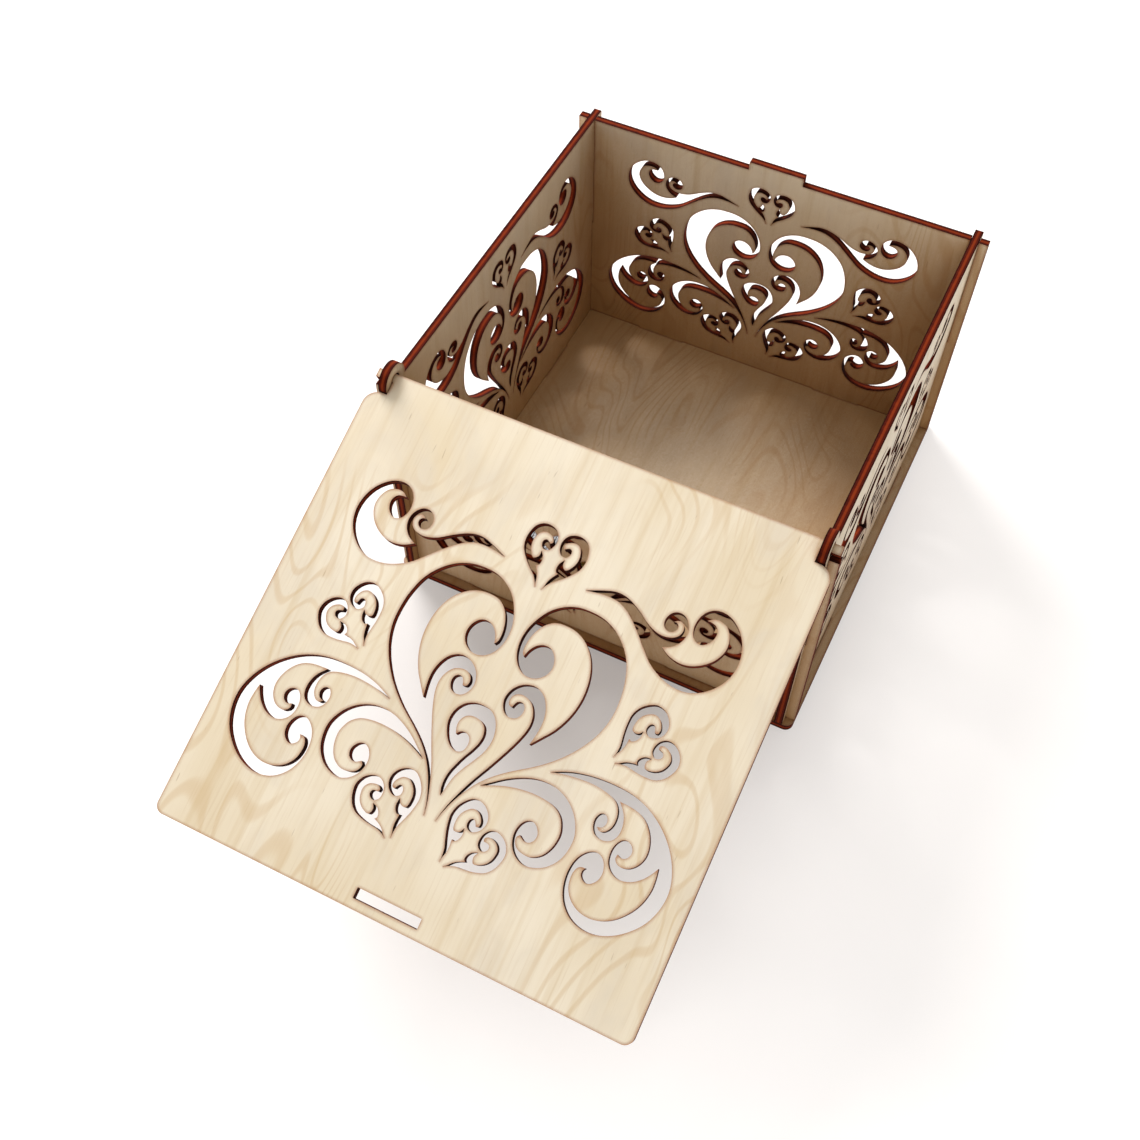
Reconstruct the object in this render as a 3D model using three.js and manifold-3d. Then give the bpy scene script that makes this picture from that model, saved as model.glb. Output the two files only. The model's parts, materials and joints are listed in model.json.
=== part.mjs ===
// Wind-up music box: a laser-cut plywood box with a hinged filigree lid and a key-wound comb movement inside.
// Millimetres, +Z up. The origin is the centre of the base plate's underside; the hinge is at the back, +Y,
// the lid's closing tab is at the front, -Y, and the winding key comes out of the right wall, +X.
import * as THREE from 'three';
import { mergeVertices } from 'three/addons/utils/BufferGeometryUtils.js';
import Module from 'manifold-3d';

const wasm = await Module();
wasm.setup();

// ---------------------------------------------------------------------------------- driving dimensions
const PLY = 3;                 // plywood thickness, and so the size of every slot and peg
const FOOT = 160;              // base plate and lid, across
const OVERHANG = 3.4;          // how far the wall ends and the base plate stand past the walls' outer faces
const WALL_TOP = 103;          // top edge of the front and side walls above the underside
const BACK_TOP = 102;          // the back wall is lower, so that the open lid can fold past it
const JOINT_GAP = 0.15;        // play in the plywood joints, each side
const CORNER_R = 3;            // corner radius of the base plate and the lid
const LID_TOLERANCE = 0.36;    // how far a facet may stray from a scroll's curve, in the lid
const WALL_TOLERANCE = 0.46;   // and in the walls, where the scrolls are smaller

const BASE_TAB = { width: 20, depth: 2.8, offset: 40 }; // two tabs under each wall, through the base plate
const LID_TAB = { width: 21.1, height: 3.4 };           // tab on the front wall, for the lid's slot

// The ears are undercut at the back by the relief angle, for the open lid's shoulders.
const HINGE = { y: 74.2, z: WALL_TOP + 0.2 + PLY / 2, ear: 5.8, hole: 2.45, relief: Math.PI / 4 };
const LID = { length: 155.5, halfWidth: 79.9, notchX: 73.3, notchDepth: 7.6, shoulderR: 5, pegX: 79.7 };
const LID_OPEN = 200.5;        // degrees from closed; the model rests with the lid open, on the back wall
const LID_SLOT = { from: 3.05, to: 6.35, halfWidth: 10.75 };

const HALF = FOOT / 2;
const OUTER = HALF - OVERHANG; // outer face of every wall
const INNER = OUTER - PLY;     // inner face of every wall
const LAP_Z = (PLY + WALL_TOP) / 2;

// Movement: everything on the cylinder's axis runs along X.
const AXIS = { y: 31, z: 14.5 };
const BED = { x0: 7, x1: 73, y0: 17, y1: 70, bottom: 3.1, top: 5.6, r: 3 };
const SEAT = BED.top + 0.1;    // underside of what stands on the bed plate
const CYLINDER = { x0: 25, x1: 48, r: 6.5, wall: 0.8, end: 1.2, pin: 0.8, pinWidth: 0.5 };
const PIN_STEP = 137.5;        // degrees from one pin to the next, so that no two tracks look alike
const COMB = {
  teeth: 18, pitch: 1.2, slit: 0.3, thickness: 1, tipGap: 0.4,
  x0: 25.6, back: 68.5, longest: 19, shortest: 13,
};
const COMB_BASE = { y0: 58.5, y1: BED.y1 - 0.5, margin: 1 };
const BARREL = { x0: 49, x1: 64, r: 10.5, wall: 0.9, floor: 1.2, lid: 1.4 };
const SPRING = { core: 2.7, thickness: 0.45, turns: 3, play: 0.5 };
const BRACKET = { barrelX: 65, cylinderX: 16, thickness: 2 };
const GEAR_MODULE = 0.5;
const CYLINDER_GEAR = { x: 21, teeth: 32, thickness: 2 };
const PINION = { x: 20.4, teeth: 8, thickness: 3 };
const WHEEL = { teeth: 24, thickness: 1.4 };
const IDLER = { y: AXIS.y + 8, z: AXIS.z + 6 };   // 8 and 6 give the pair's centre distance of 10
const WORM = { x: 13.1, y: IDLER.y + 8.1, r: 1.4, shaft: 0.8, bottom: 6.6, top: 36.5, threads: 5 };
const FAN = { z: 27.6, hubR: 1.8, span: 12, blade: 0.6, height: 5 };
const GOVERNOR_FRAME = { arm: 2, width: 5, front: 2.4, back: 9, foot: 7 };
const POST = { x: WORM.x - 5.6, r: 2.4 };         // small post under the idler arbor's outer end
const SHAFT = { arbor: 2, thin: 1.2, idler: 1, fit: 0.05, play: 0.08 };
const RATCHET = { x: 67.5, teeth: 16, r: 6, root: 5, thickness: 1.8 };
const CLICK = { pivot: { y: AXIS.y + 9.5, z: AXIS.z + 6 }, screw: 1, eyeR: 2, headR: 1.9, thickness: 1.6 };
const CLICK_NOSE = { y: AXIS.y + 5.9, z: AXIS.z + 3.1 };
const KEY = {
  x: 77.5, hubR: 3.2, socket: 5, hubLength: 7.5, lobeR: 5.4, lobeOffset: 5.3, lobeX: 11, rim: 2.2,
  thickness: 1.8, tilt: 35,
};

const SCREW = { shank: 1, head: 2.1, headHeight: 1.3, slot: 0.5, hole: 1.15 };
const BED_SCREWS = [[11, 21], [11, 66], [69, 19.5], [69, 66]];
const BARREL_BRACKET_SCREWS = [[70.2, 25.5], [70.2, 36.5]];
const CYLINDER_BRACKET_SCREWS = [[12.4, 25.5], [12.4, 33.5]];
const GOVERNOR_SCREW = [WORM.x, WORM.y + 13.2];
const COMB_SCREWS = [[COMB.x0 + 4.5, 63.5], [COMB.x0 + 17.1, 63.5]];

// ------------------------------------------------------------------------------------------- materials
function material(color, roughness, metalness) {
  return new THREE.MeshStandardMaterial({ color, roughness, metalness });
}
const birch = () => material(0xe9d9b8, 0.6, 0);
const brass = () => material(0xc9a24e, 0.32, 1);
const steel = () => material(0xb4b6ba, 0.3, 1);
const blued = () => material(0x39404f, 0.35, 1);
const zinc = () => material(0x9fa2a3, 0.45, 1);

// ---------------------------------------------------------------------------------------- shape helpers
const v2 = (x, y) => new THREE.Vector2(x, y);
const TURN = Math.PI * 2;
const radians = THREE.MathUtils.degToRad;

/** Drops the points of an open line that its other points already describe to within the tolerance. */
function thin(points, tolerance) {
  const first = points[0];
  const last = points[points.length - 1];
  const chord = last.clone().sub(first);
  const length = chord.length() || 1;
  let furthest = 0;
  let worst = 0;
  for (let i = 1; i < points.length - 1; i += 1) {
    const distance = Math.abs(chord.cross(points[i].clone().sub(first))) / length;
    if (distance > worst) {
      worst = distance;
      furthest = i;
    }
  }
  if (worst <= tolerance) return [first, last];
  const before = thin(points.slice(0, furthest + 1), tolerance);
  const after = thin(points.slice(furthest), tolerance);
  return [...before, ...after.slice(1)];
}

/** Closed outline of smooth runs: each is a spline on from the last point, and meets the next in a corner. */
function scrollOutline(runs, tolerance) {
  const points = [];
  let last = v2(...runs[0][0]);
  for (const [index, run] of runs.entries()) {
    const knots = run.map(([x, y]) => v2(x, y));
    if (index > 0) knots.unshift(last);
    const spans = knots.length - 1;
    points.push(...thin(new THREE.SplineCurve(knots).getPoints(spans * 4), tolerance).slice(1));
    last = knots[spans];
  }
  return points;
}

/** Extrudes a shape along +z and cuts its holes through. */
function extrude(shape, depth, curveSegments = 6) {
  const prism = (outline, height) => new THREE.ExtrudeGeometry(
    new THREE.Shape(outline.getPoints(curveSegments)),
    { depth: height, bevelEnabled: false },
  );
  const plate = prism(shape, depth);
  if (!shape.holes?.length) return plate;
  return build([plate], shape.holes.map((hole) => prism(hole, depth + 2).translate(0, 0, -1)));
}

function lathe(profile, segments = 24) {
  return new THREE.LatheGeometry(profile.map(([r, h]) => v2(r, h)), segments);
}

/** Radius of a lathed bore whose flats clear a shaft of radius r. */
function boreRadius(r, segments) {
  return r / Math.cos(Math.PI / segments);
}

/** Ring of rectangular section about Y, from height h0 to h1; a bore of 0 makes a solid disc. */
function ring(bore, r, h0, h1, segments = 24) {
  const profile = bore > 0
    ? [[bore, h0], [r, h0], [r, h1], [bore, h1], [bore, h0]]
    : [[0, h0], [r, h0], [r, h1], [0, h1]];
  return lathe(profile, segments);
}

/** Round hole whose flats just reach radius r, so that a shaft of that radius turns in it. */
function roundHole(x, y, r, sides = 12) {
  const corner = r / Math.cos(Math.PI / sides);
  const points = [];
  for (let i = 0; i < sides; i += 1) {
    const turn = (TURN * i) / sides;
    points.push(v2(x + corner * Math.cos(turn), y + corner * Math.sin(turn)));
  }
  return new THREE.Path(points);
}

function polygonPath(points) {
  return new THREE.Path(points.map(([x, y]) => v2(x, y)));
}

function roundedRectangle(x0, y0, x1, y1, r) {
  const shape = new THREE.Shape();
  shape.absarc(x1 - r, y0 + r, r, -Math.PI / 2, 0);
  shape.absarc(x1 - r, y1 - r, r, 0, Math.PI / 2);
  shape.absarc(x0 + r, y1 - r, r, Math.PI / 2, Math.PI);
  shape.absarc(x0 + r, y0 + r, r, Math.PI, Math.PI * 1.5);
  return shape;
}

function toSolid(geometry) {
  const bare = geometry.clone();
  bare.deleteAttribute('normal');
  bare.deleteAttribute('uv');
  const merged = mergeVertices(bare, 1e-4);
  return new wasm.Manifold(new wasm.Mesh({
    numProp: 3,
    vertProperties: new Float32Array(merged.attributes.position.array),
    triVerts: new Uint32Array(merged.index.array),
  }));
}

function fromSolid(solid) {
  const mesh = solid.getMesh();
  const geometry = new THREE.BufferGeometry();
  geometry.setAttribute('position', new THREE.BufferAttribute(new Float32Array(mesh.vertProperties), 3));
  geometry.setIndex(new THREE.BufferAttribute(new Uint32Array(mesh.triVerts), 1));
  geometry.computeVertexNormals();
  return geometry;
}

/** Joins the first list of geometries and cuts the second list away. */
function build(joined, cut = []) {
  let solid = joined.map(toSolid).reduce((all, next) => all.add(next));
  for (const tool of cut) solid = solid.subtract(toSolid(tool));
  return fromSolid(solid);
}

function named(name, geometry, look) {
  const mesh = new THREE.Mesh(geometry, look);
  mesh.name = name;
  return mesh;
}

function at(mesh, x, y, z) {
  mesh.position.set(x, y, z);
  return mesh;
}

/** Turns a body made about Y so that Y becomes X, and sets it on the line through y and z. */
function alongX(mesh, y = AXIS.y, z = AXIS.z) {
  mesh.rotation.z = -Math.PI / 2;
  mesh.position.set(0, y, z);
  return mesh;
}

/** Turns a flat body drawn in local x and y so that it faces X: local x points down, local y stays. */
function facingX(mesh, x, y = AXIS.y, z = AXIS.z) {
  mesh.rotation.y = Math.PI / 2;
  mesh.position.set(x, y, z);
  return mesh;
}

/** Stands a plate drawn flat in y and z upright, so that it runs from x along X. */
function uprightPlate(geometry, x) {
  return geometry.rotateX(Math.PI / 2).rotateZ(Math.PI / 2).translate(x, 0, 0);
}

// --------------------------------------------------------------------------------------------- filigree
// Drawn at the lid's size: x outwards from the middle line, y up from the lid's front edge.
const TOP_SWIRL = [
  [[13.8, 113.7], [19, 115.8], [23, 116.9], [27, 116.4], [31.5, 114.2], [36, 111.3], [40, 110], [43.2, 110.3],
    [45.2, 111.5], [46, 113.3], [45.7, 115], [44.6, 116], [43.4, 115.9], [42.3, 115.1]],
  [[43.2, 115.2], [44.1, 114.4], [44.1, 113.2], [43.1, 112.1], [41.6, 111.9], [40.2, 112.9], [39.7, 114.8],
    [40.5, 117], [42.2, 118.2], [44.2, 118.2], [46, 117], [47.3, 114.7], [47.4, 112], [46.3, 109.6],
    [44.6, 107.9], [42.2, 106.7]],
  [[45, 105.1], [48.5, 104.3], [52, 104.7], [55.5, 106.5], [58.3, 109.3], [59.9, 113], [59.6, 116.5],
    [58, 119.3], [55.7, 120.5], [53.3, 120.5], [51.4, 119.3]],
  [[53, 119.2], [54.5, 118.6], [55.5, 117], [55.4, 115], [54.3, 113], [52.4, 111.8], [50.4, 112.3],
    [49, 114.1], [48.5, 116.7], [49.1, 119.7], [50.8, 122.1], [53.3, 123.3], [56.2, 123.2], [59.2, 121.8],
    [62.2, 118.9], [64.2, 115], [64.9, 110.6], [64.2, 106.3], [62, 102.3], [58.5, 99], [54.5, 97.2],
    [50, 97], [45.5, 98.2], [41, 100.7], [37.5, 104], [34, 107.6], [30.8, 110.6], [27.5, 113], [24, 114.4],
    [19.5, 114.6], [13.8, 113.7]],
];
const HEART_LOBE = [
  [[1.9, 32.8], [2.9, 36.7], [4.4, 40.7], [6.3, 44.5], [9, 48.5], [12.7, 52.3], [17, 55.7], [21.5, 58.8],
    [25.5, 62], [29.5, 66], [33.2, 71], [35.7, 76], [37.1, 81.5], [37.2, 87], [36.4, 92.5], [34.5, 98],
    [31.5, 102.3], [27.5, 105.7], [23, 107.7], [18.5, 108.3], [14, 108], [10, 106.4], [6.5, 103.6],
    [4, 99.8], [2.4, 95.5], [2.1, 91], [3.1, 87], [5.2, 84.2], [8, 82.8], [11, 83.1], [13.6, 85.1],
    [14.6, 88], [13.9, 91], [11.9, 93.1], [9.5, 93.4], [7.3, 92.3], [5.8, 90.3], [5, 87.9]],
  [[4.2, 89.2], [4.1, 92], [4.9, 95.5], [6.6, 98.6], [9.3, 100.8], [12.8, 101.4], [16.5, 101], [20, 99.4],
    [23.2, 96.4], [25.4, 92.4], [26.6, 87.5], [26.7, 82], [25.5, 76.5], [23.2, 71.5], [20.5, 67.8],
    [18, 64.6]],
  [[18.8, 69.5], [18.8, 73], [17.9, 76.3], [16.2, 79], [13.8, 80.6], [11.4, 80.9], [8.5, 79.9], [6.2, 77.6],
    [5.2, 74.5], [5.8, 71.8], [7.3, 70], [9.2, 69.5], [11.1, 70.2], [12.1, 72], [12, 73.9], [10.8, 75],
    [9.4, 74.7], [8.7, 73.6], [8.4, 72.6]],
  [[7.2, 72.9], [6.8, 74.5], [7.5, 76.2], [9.2, 77.1], [11.2, 77], [13.4, 75.9], [15, 73.6], [15.7, 70.8],
    [15.4, 67.5], [14, 63.2], [12, 58.5], [9.5, 53.2], [6.8, 47.8], [4.5, 42.3], [2.8, 37.2], [1.9, 32.8]],
];
const OUTER_SCROLL = [
  [[27.2, 59.8], [31, 61.6], [35, 62.9], [40, 63.8], [46, 64.1], [52, 63.6], [57.5, 61.9], [62.5, 59],
    [67, 54.9], [70.5, 49.8], [72.5, 44], [72.4, 38.5], [70.5, 33], [67.2, 28.7], [63, 25.4], [58.3, 23.5],
    [54, 23.3], [50, 24.6], [46.8, 27.3], [44.8, 30.8], [43.9, 35], [44.2, 39], [45.5, 42], [47.7, 44],
    [50, 44.4], [52.1, 43], [53.2, 40.2], [52.8, 37.5], [51.2, 35.7], [49.5, 35.4], [48, 36.5],
    [47.6, 37.9], [48.2, 39.1]],
  [[46.6, 38.8], [45.6, 37.5], [45.3, 35.2], [46, 32], [48.2, 29.1], [51.5, 27.3], [55.3, 26.9],
    [59, 27.9], [62.3, 30.1], [65.2, 33.5], [67, 37], [67.9, 41], [67.8, 44.5], [67.3, 47.6]],
  [[66, 45.2], [64.3, 43], [62, 41.2], [59.5, 40.3], [57.3, 40.3], [55, 41.4], [53.4, 43.5], [52.9, 46.3],
    [53.3, 48.7], [54.5, 50.5], [56.1, 51], [57.8, 50.2], [58.6, 48.5], [58, 46.7], [56.6, 45.9],
    [55, 46.4]],
  [[54.9, 45.1], [55.9, 43.9], [57.6, 43.5], [59.8, 44.2], [61.7, 46.2], [62.7, 49], [62.4, 52.3],
    [60.8, 55.8], [58.1, 58.6], [54.5, 60], [49.4, 60.4]],
  [[51.7, 57.8], [52.9, 55], [53.1, 52], [52.2, 49.7], [50.4, 48.5], [48.4, 48.3], [46.4, 49.1],
    [45.2, 50.9], [44.9, 53], [45.6, 54.8], [46.8, 55.3], [48, 54.7], [48.5, 53.2], [47.8, 51.6],
    [46.3, 51.1]],
  [[47.3, 50.3], [48.8, 50.6], [50.2, 52.4], [50.6, 55], [50, 57.8], [48.3, 59.9], [45.5, 61], [42, 61.6],
    [38.5, 61.7], [34, 61.3], [30, 60.6], [27.2, 59.8]],
];
const INNER_SCROLL = [
  [[9.7, 47.8], [12.5, 50], [16, 52.6], [20, 54.8], [24, 56.2], [28, 56.6], [32, 56], [36, 54],
    [39.3, 50.7], [41.4, 46.3], [41.5, 42], [40.3, 38], [37.6, 34.7], [34.2, 32.9], [31, 32.5],
    [28.1, 33.7], [26, 36], [25, 39], [25.2, 41.7], [26.4, 43.8], [28.3, 44.7], [30.1, 44], [31.4, 42],
    [31.2, 40], [30, 38.8], [28.4, 38.7], [26.7, 39.7]],
  [[26, 38.7], [26.3, 37.3], [27.5, 35.9], [29.5, 35.2], [32.1, 35.2], [34.9, 36.9], [36.7, 39.9],
    [37.4, 43.3], [37.1, 46], [35.6, 49], [33, 51], [29.5, 51.9], [25, 52.1], [20, 51.5], [15, 50.1],
    [9.7, 47.8]],
];
const MIDDLE_SCROLL = [
  [[0, 40.3], [-0.8, 42.5], [-1, 45], [-0.7, 47.5], [0.1, 50], [1.3, 53], [2.8, 56], [3.9, 59], [4.1, 61.5],
    [3.4, 63.7], [2, 64.9], [0.3, 65.4], [-1.5, 65.4], [-3.2, 64.7], [-4.3, 63.2], [-4.6, 61],
    [-3.8, 58.6]],
  [[-2.9, 59.7], [-1.7, 60.1], [-0.5, 59.9], [0.6, 59], [1, 57.3], [0.6, 55.3], [-0.6, 54.2], [-2.3, 54.1],
    [-4.5, 55.3], [-6.5, 58], [-7.7, 61.5], [-7.2, 65], [-5.4, 67.7], [-2.8, 69.2], [0, 69.6], [3, 69.1],
    [5.3, 67.3], [6.8, 64.2], [7.2, 60.5], [6.4, 57], [4.8, 53.8], [2.8, 50.3], [1.3, 47], [0.6, 44],
    [0, 40.3]],
];
// Half of a small heart, from its tip: x outwards, y up the heart's middle line.
const HALF_HEART = [
  [[0, 0], [0.7, 1.5], [2, 3.3], [3.6, 4.7], [5.5, 6.4], [7.3, 8.4], [8.6, 10.4], [9.2, 13], [8.9, 15.8],
    [7.9, 18.2], [6, 19.6], [3.8, 19.9], [1.6, 19.2], [0.2, 17.7], [-0.3, 15.7], [0.1, 13.8], [1.1, 12.4],
    [2.4, 12.1], [3.3, 12.5], [3.9, 13.7], [3.7, 14.8], [2.8, 15.2], [1.4, 14.4]],
  [[0.8, 15.1], [1.3, 16.3], [2.5, 17.1], [4.1, 17.4], [5.7, 16.7], [6.6, 15], [6.9, 12.9], [6.4, 10.8],
    [5.3, 9], [4.5, 8.4]],
  [[3.7, 8.8], [3, 9.8], [3, 11.4]],
  [[1.9, 9.8], [1.6, 8.1], [2, 6.9], [2.8, 6.6]],
  [[1.7, 5], [0.9, 3.3], [0.5, 1.5], [0, 0]],
];
// Where the half hearts go: the tip, and what their x and y directions become.
const HALF_HEART_PLACES = [
  { tip: [1, 108.5], across: [1, 0], up: [0, 1] },
  { tip: [43.4, 69.7], across: [0.73, -0.8], up: [0.64, 0.7] },
  { tip: [42.3, 71.1], across: [-0.77, 0.77], up: [0.65, 0.72] },
  { tip: [9.7, 22.1], across: [0.86, -0.61], up: [0.48, 0.86] },
  { tip: [8.2, 22.9], across: [-0.9, 0.55], up: [0.47, 0.89] },
];

const placeHalfHeart = ({ tip, across, up }) => HALF_HEART.map((run) => run.map(([x, y]) => [
  tip[0] + x * across[0] + y * up[0],
  tip[1] + x * across[1] + y * up[1],
]));
const MIRRORED_SCROLLS = [TOP_SWIRL, HEART_LOBE, OUTER_SCROLL, INNER_SCROLL,
  ...HALF_HEART_PLACES.map(placeHalfHeart)];

/** Every opening of the filigree as a path; side is 1 or -1 and sets which way the middle scroll curls. */
function filigree({ scaleX, scaleY, rise, side, tolerance }) {
  const place = (sign) => ([x, y]) => [sign * x * scaleX, y * scaleY + rise];
  const drawn = [[MIDDLE_SCROLL, side]];
  for (const scroll of MIRRORED_SCROLLS) drawn.push([scroll, 1], [scroll, -1]);
  return drawn.map(([runs, sign]) => new THREE.Path(
    scrollOutline(runs.map((run) => run.map(place(sign))), tolerance),
  ));
}
const LID_ART = { scaleX: 1, scaleY: 1, rise: 0, side: -1, tolerance: LID_TOLERANCE };
const WALL_ART = { scaleX: 0.9, scaleY: 0.79, rise: -5, tolerance: WALL_TOLERANCE };

// ------------------------------------------------------------------------------------------ plywood box
const slotHole = (u, v, halfU, halfV) => polygonPath([
  [u - halfU, v - halfV], [u + halfU, v - halfV], [u + halfU, v + halfV], [u - halfU, v + halfV],
]);

/** Bottom edge of a wall from left to right, with its two tabs; the corners are where the laps leave them. */
function bottomEdge(from, to) {
  const low = PLY - BASE_TAB.depth;
  const points = [[from, PLY]];
  for (const middle of [-BASE_TAB.offset, BASE_TAB.offset]) {
    const a = middle - BASE_TAB.width / 2;
    const b = middle + BASE_TAB.width / 2;
    points.push([a, PLY], [a, low], [b, low], [b, PLY]);
  }
  points.push([to, PLY]);
  return points;
}

function basePlate() {
  const shape = roundedRectangle(-HALF, -HALF, HALF, HALF, CORNER_R);
  const middle = (OUTER + INNER) / 2;
  const long = BASE_TAB.width / 2 + JOINT_GAP;
  const short = PLY / 2 + JOINT_GAP;
  for (const side of [-1, 1]) {
    for (const offset of [-BASE_TAB.offset, BASE_TAB.offset]) {
      shape.holes.push(slotHole(offset, side * middle, long, short));
      shape.holes.push(slotHole(side * middle, offset, short, long));
    }
  }
  for (const [x, y] of BED_SCREWS) shape.holes.push(roundHole(x, y, SCREW.hole, 6));
  return named('base_plate', extrude(shape, PLY, 3), birch());
}

/** Front or back wall, drawn in x and z. Its laps are slots open at the top, and a tab may stand on top. */
function crossWall(name, outerY, top, tab, side) {
  const lap0 = INNER - JOINT_GAP;
  const lap1 = OUTER + JOINT_GAP;
  const low = PLY + JOINT_GAP;
  const right = [[HALF, low], [HALF, top], [lap1, top], [lap1, LAP_Z], [lap0, LAP_Z], [lap0, top]];
  if (tab) {
    const half = LID_TAB.width / 2;
    right.push([half, top], [half, top + LID_TAB.height]);
  }
  const left = right.map(([x, z]) => [-x, z]).reverse();
  const bottom = bottomEdge(-HALF, HALF).map(([x, z]) => [x, z + JOINT_GAP]);
  const outline = [...bottom.slice(0, -1), ...right, ...left.slice(0, -1)];
  const shape = new THREE.Shape(outline.map(([x, z]) => v2(x, z)));
  shape.holes.push(...filigree({ ...WALL_ART, side }));
  const mesh = named(name, extrude(shape, PLY), birch());
  mesh.rotation.x = Math.PI / 2;
  return at(mesh, 0, outerY > 0 ? outerY : outerY + PLY, 0);
}

/** Side wall, drawn in y and z. Its laps are slots open at the bottom, and its ear carries the lid. */
function sideWall(name, x0, side, keyHole) {
  const lap0 = INNER - JOINT_GAP;
  const lap1 = OUTER + JOINT_GAP;
  const low = PLY + JOINT_GAP;
  const lapTop = LAP_Z + 2 * JOINT_GAP;
  const shape = new THREE.Shape();
  shape.moveTo(-HALF, low);
  for (const [y, z] of [[-lap1, low], [-lap1, lapTop], [-lap0, lapTop]]) shape.lineTo(y, z);
  for (const [y, z] of bottomEdge(-lap0, lap0)) shape.lineTo(y, z + JOINT_GAP);
  const reliefZ = HINGE.z - HINGE.ear * Math.sin(HINGE.relief);
  for (const [y, z] of [[lap0, lapTop], [lap1, lapTop], [lap1, low], [HALF, low], [HALF, reliefZ]]) {
    shape.lineTo(y, z);
  }
  const foot = Math.asin((HINGE.z - WALL_TOP) / HINGE.ear);
  shape.absarc(HINGE.y, HINGE.z, HINGE.ear, -HINGE.relief, Math.PI + foot);
  shape.lineTo(-HALF, WALL_TOP);
  shape.holes.push(...filigree({ ...WALL_ART, side }));
  shape.holes.push(roundHole(HINGE.y, HINGE.z, HINGE.hole));
  if (keyHole) shape.holes.push(roundHole(AXIS.y, AXIS.z, KEY.hubR));
  const mesh = named(name, extrude(shape, PLY, 7), birch());
  mesh.rotation.set(Math.PI / 2, Math.PI / 2, 0);
  return at(mesh, x0, 0, 0);
}

/** Lid, drawn closed in x and in distance from its front edge, then turned open about the hinge axis. */
function lid() {
  const { length, halfWidth, notchX, notchDepth, shoulderR, pegX } = LID;
  const shoulder = length - notchDepth;
  const shape = new THREE.Shape();
  shape.absarc(halfWidth - CORNER_R, CORNER_R, CORNER_R, -Math.PI / 2, 0);
  shape.absarc(halfWidth - shoulderR, shoulder - shoulderR, shoulderR, 0, Math.PI / 2);
  for (const [x, y] of [[notchX, shoulder], [notchX, length - PLY], [pegX, length - PLY], [pegX, length]]) {
    shape.lineTo(x, y);
  }
  for (const [x, y] of [[pegX, length], [pegX, length - PLY], [notchX, length - PLY], [notchX, shoulder]]) {
    shape.lineTo(-x, y);
  }
  shape.absarc(-halfWidth + shoulderR, shoulder - shoulderR, shoulderR, Math.PI / 2, Math.PI);
  shape.absarc(-halfWidth + CORNER_R, CORNER_R, CORNER_R, Math.PI, Math.PI * 1.5);
  shape.holes.push(...filigree(LID_ART));
  shape.holes.push(slotHole(0, (LID_SLOT.from + LID_SLOT.to) / 2, LID_SLOT.halfWidth,
    (LID_SLOT.to - LID_SLOT.from) / 2));
  const mesh = named('lid', extrude(shape, PLY, 4), birch());
  at(mesh, 0, PLY / 2 - length, -PLY / 2);
  const hinged = new THREE.Group();
  hinged.position.set(0, HINGE.y, HINGE.z);
  hinged.rotation.x = -radians(LID_OPEN);
  hinged.add(mesh);
  return hinged;
}

// --------------------------------------------------------------------------------------------- fasteners
/** Slotted cheese-head screw, head up, with the underside of its head at z. */
function screw(name, x, y, z, length) {
  const { shank, head, headHeight, slot } = SCREW;
  const profile = [
    [0, -length], [shank, -length], [shank, 0], [head, 0], [head, headHeight], [0, headHeight],
  ];
  const body = lathe(profile, 8);
  const groove = new THREE.BoxGeometry(head * 3, headHeight, slot).translate(0, headHeight, 0);
  const mesh = named(name, build([body], [groove]), steel());
  mesh.rotation.x = Math.PI / 2;
  return at(mesh, x, y, z);
}

function screws() {
  const bracketSeat = SEAT + BRACKET.thickness + 0.1;
  const combSeat = AXIS.z + COMB.thickness / 2 + 0.1;
  const row = (name, places, seat, length) => places.map(([x, y], i) => (
    screw(`${name}_${i + 1}`, x, y, seat, length)
  ));
  return [
    ...row('bed_screw', BED_SCREWS, SEAT, 5),
    ...row('barrel_bracket_screw', BARREL_BRACKET_SCREWS, bracketSeat, 4),
    ...row('cylinder_bracket_screw', CYLINDER_BRACKET_SCREWS, bracketSeat, 4),
    screw('governor_bracket_screw', ...GOVERNOR_SCREW, bracketSeat, 4),
    ...row('comb_screw', COMB_SCREWS, combSeat, 6.5),
  ];
}

// ------------------------------------------------------------------------------------- movement's frame
function bedPlate() {
  const shape = roundedRectangle(BED.x0, BED.y0, BED.x1, BED.y1, BED.r);
  shape.holes.push(slotHole((BARREL.x0 + BARREL.x1) / 2, AXIS.y, (BARREL.x1 - BARREL.x0) / 2 + 0.6, 7.5));
  const screwed = [...BED_SCREWS, ...BARREL_BRACKET_SCREWS, ...CYLINDER_BRACKET_SCREWS, GOVERNOR_SCREW];
  for (const [x, y] of screwed) shape.holes.push(roundHole(x, y, SCREW.hole, 6));
  return at(named('bed_plate', extrude(shape, BED.top - BED.bottom, 3), zinc()), 0, 0, BED.bottom);
}

/** Bearing bracket: an upright plate drawn in y and z, with a foot to one side and holes for its screws. */
function bracket(name, x, outline, bores, footX, footY, screwed) {
  const upright = new THREE.Shape(outline.map(([y, z]) => v2(y, z)));
  for (const { y, z, r } of bores) upright.holes.push(roundHole(y, z, r));
  const standing = uprightPlate(extrude(upright, BRACKET.thickness, 5), x);
  const foot = roundedRectangle(footX[0], footY[0], footX[1], footY[1], 1);
  for (const [sx, sy] of screwed) foot.holes.push(roundHole(sx, sy, SCREW.hole, 6));
  const lying = extrude(foot, BRACKET.thickness, 3).translate(0, 0, SEAT);
  return named(name, build([standing, lying]), brass());
}

/** Upright's outline in y and z: square at the foot, with a round head of radius r about the point y, z. */
function archOutline(y, z, r, y0, y1, steps = 10) {
  const points = [[y0, SEAT], [y1, SEAT]];
  for (let i = 0; i <= steps; i += 1) {
    const turn = (Math.PI * i) / steps;
    points.push([y + r * Math.cos(turn), z + r * Math.sin(turn)]);
  }
  return points;
}

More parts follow.
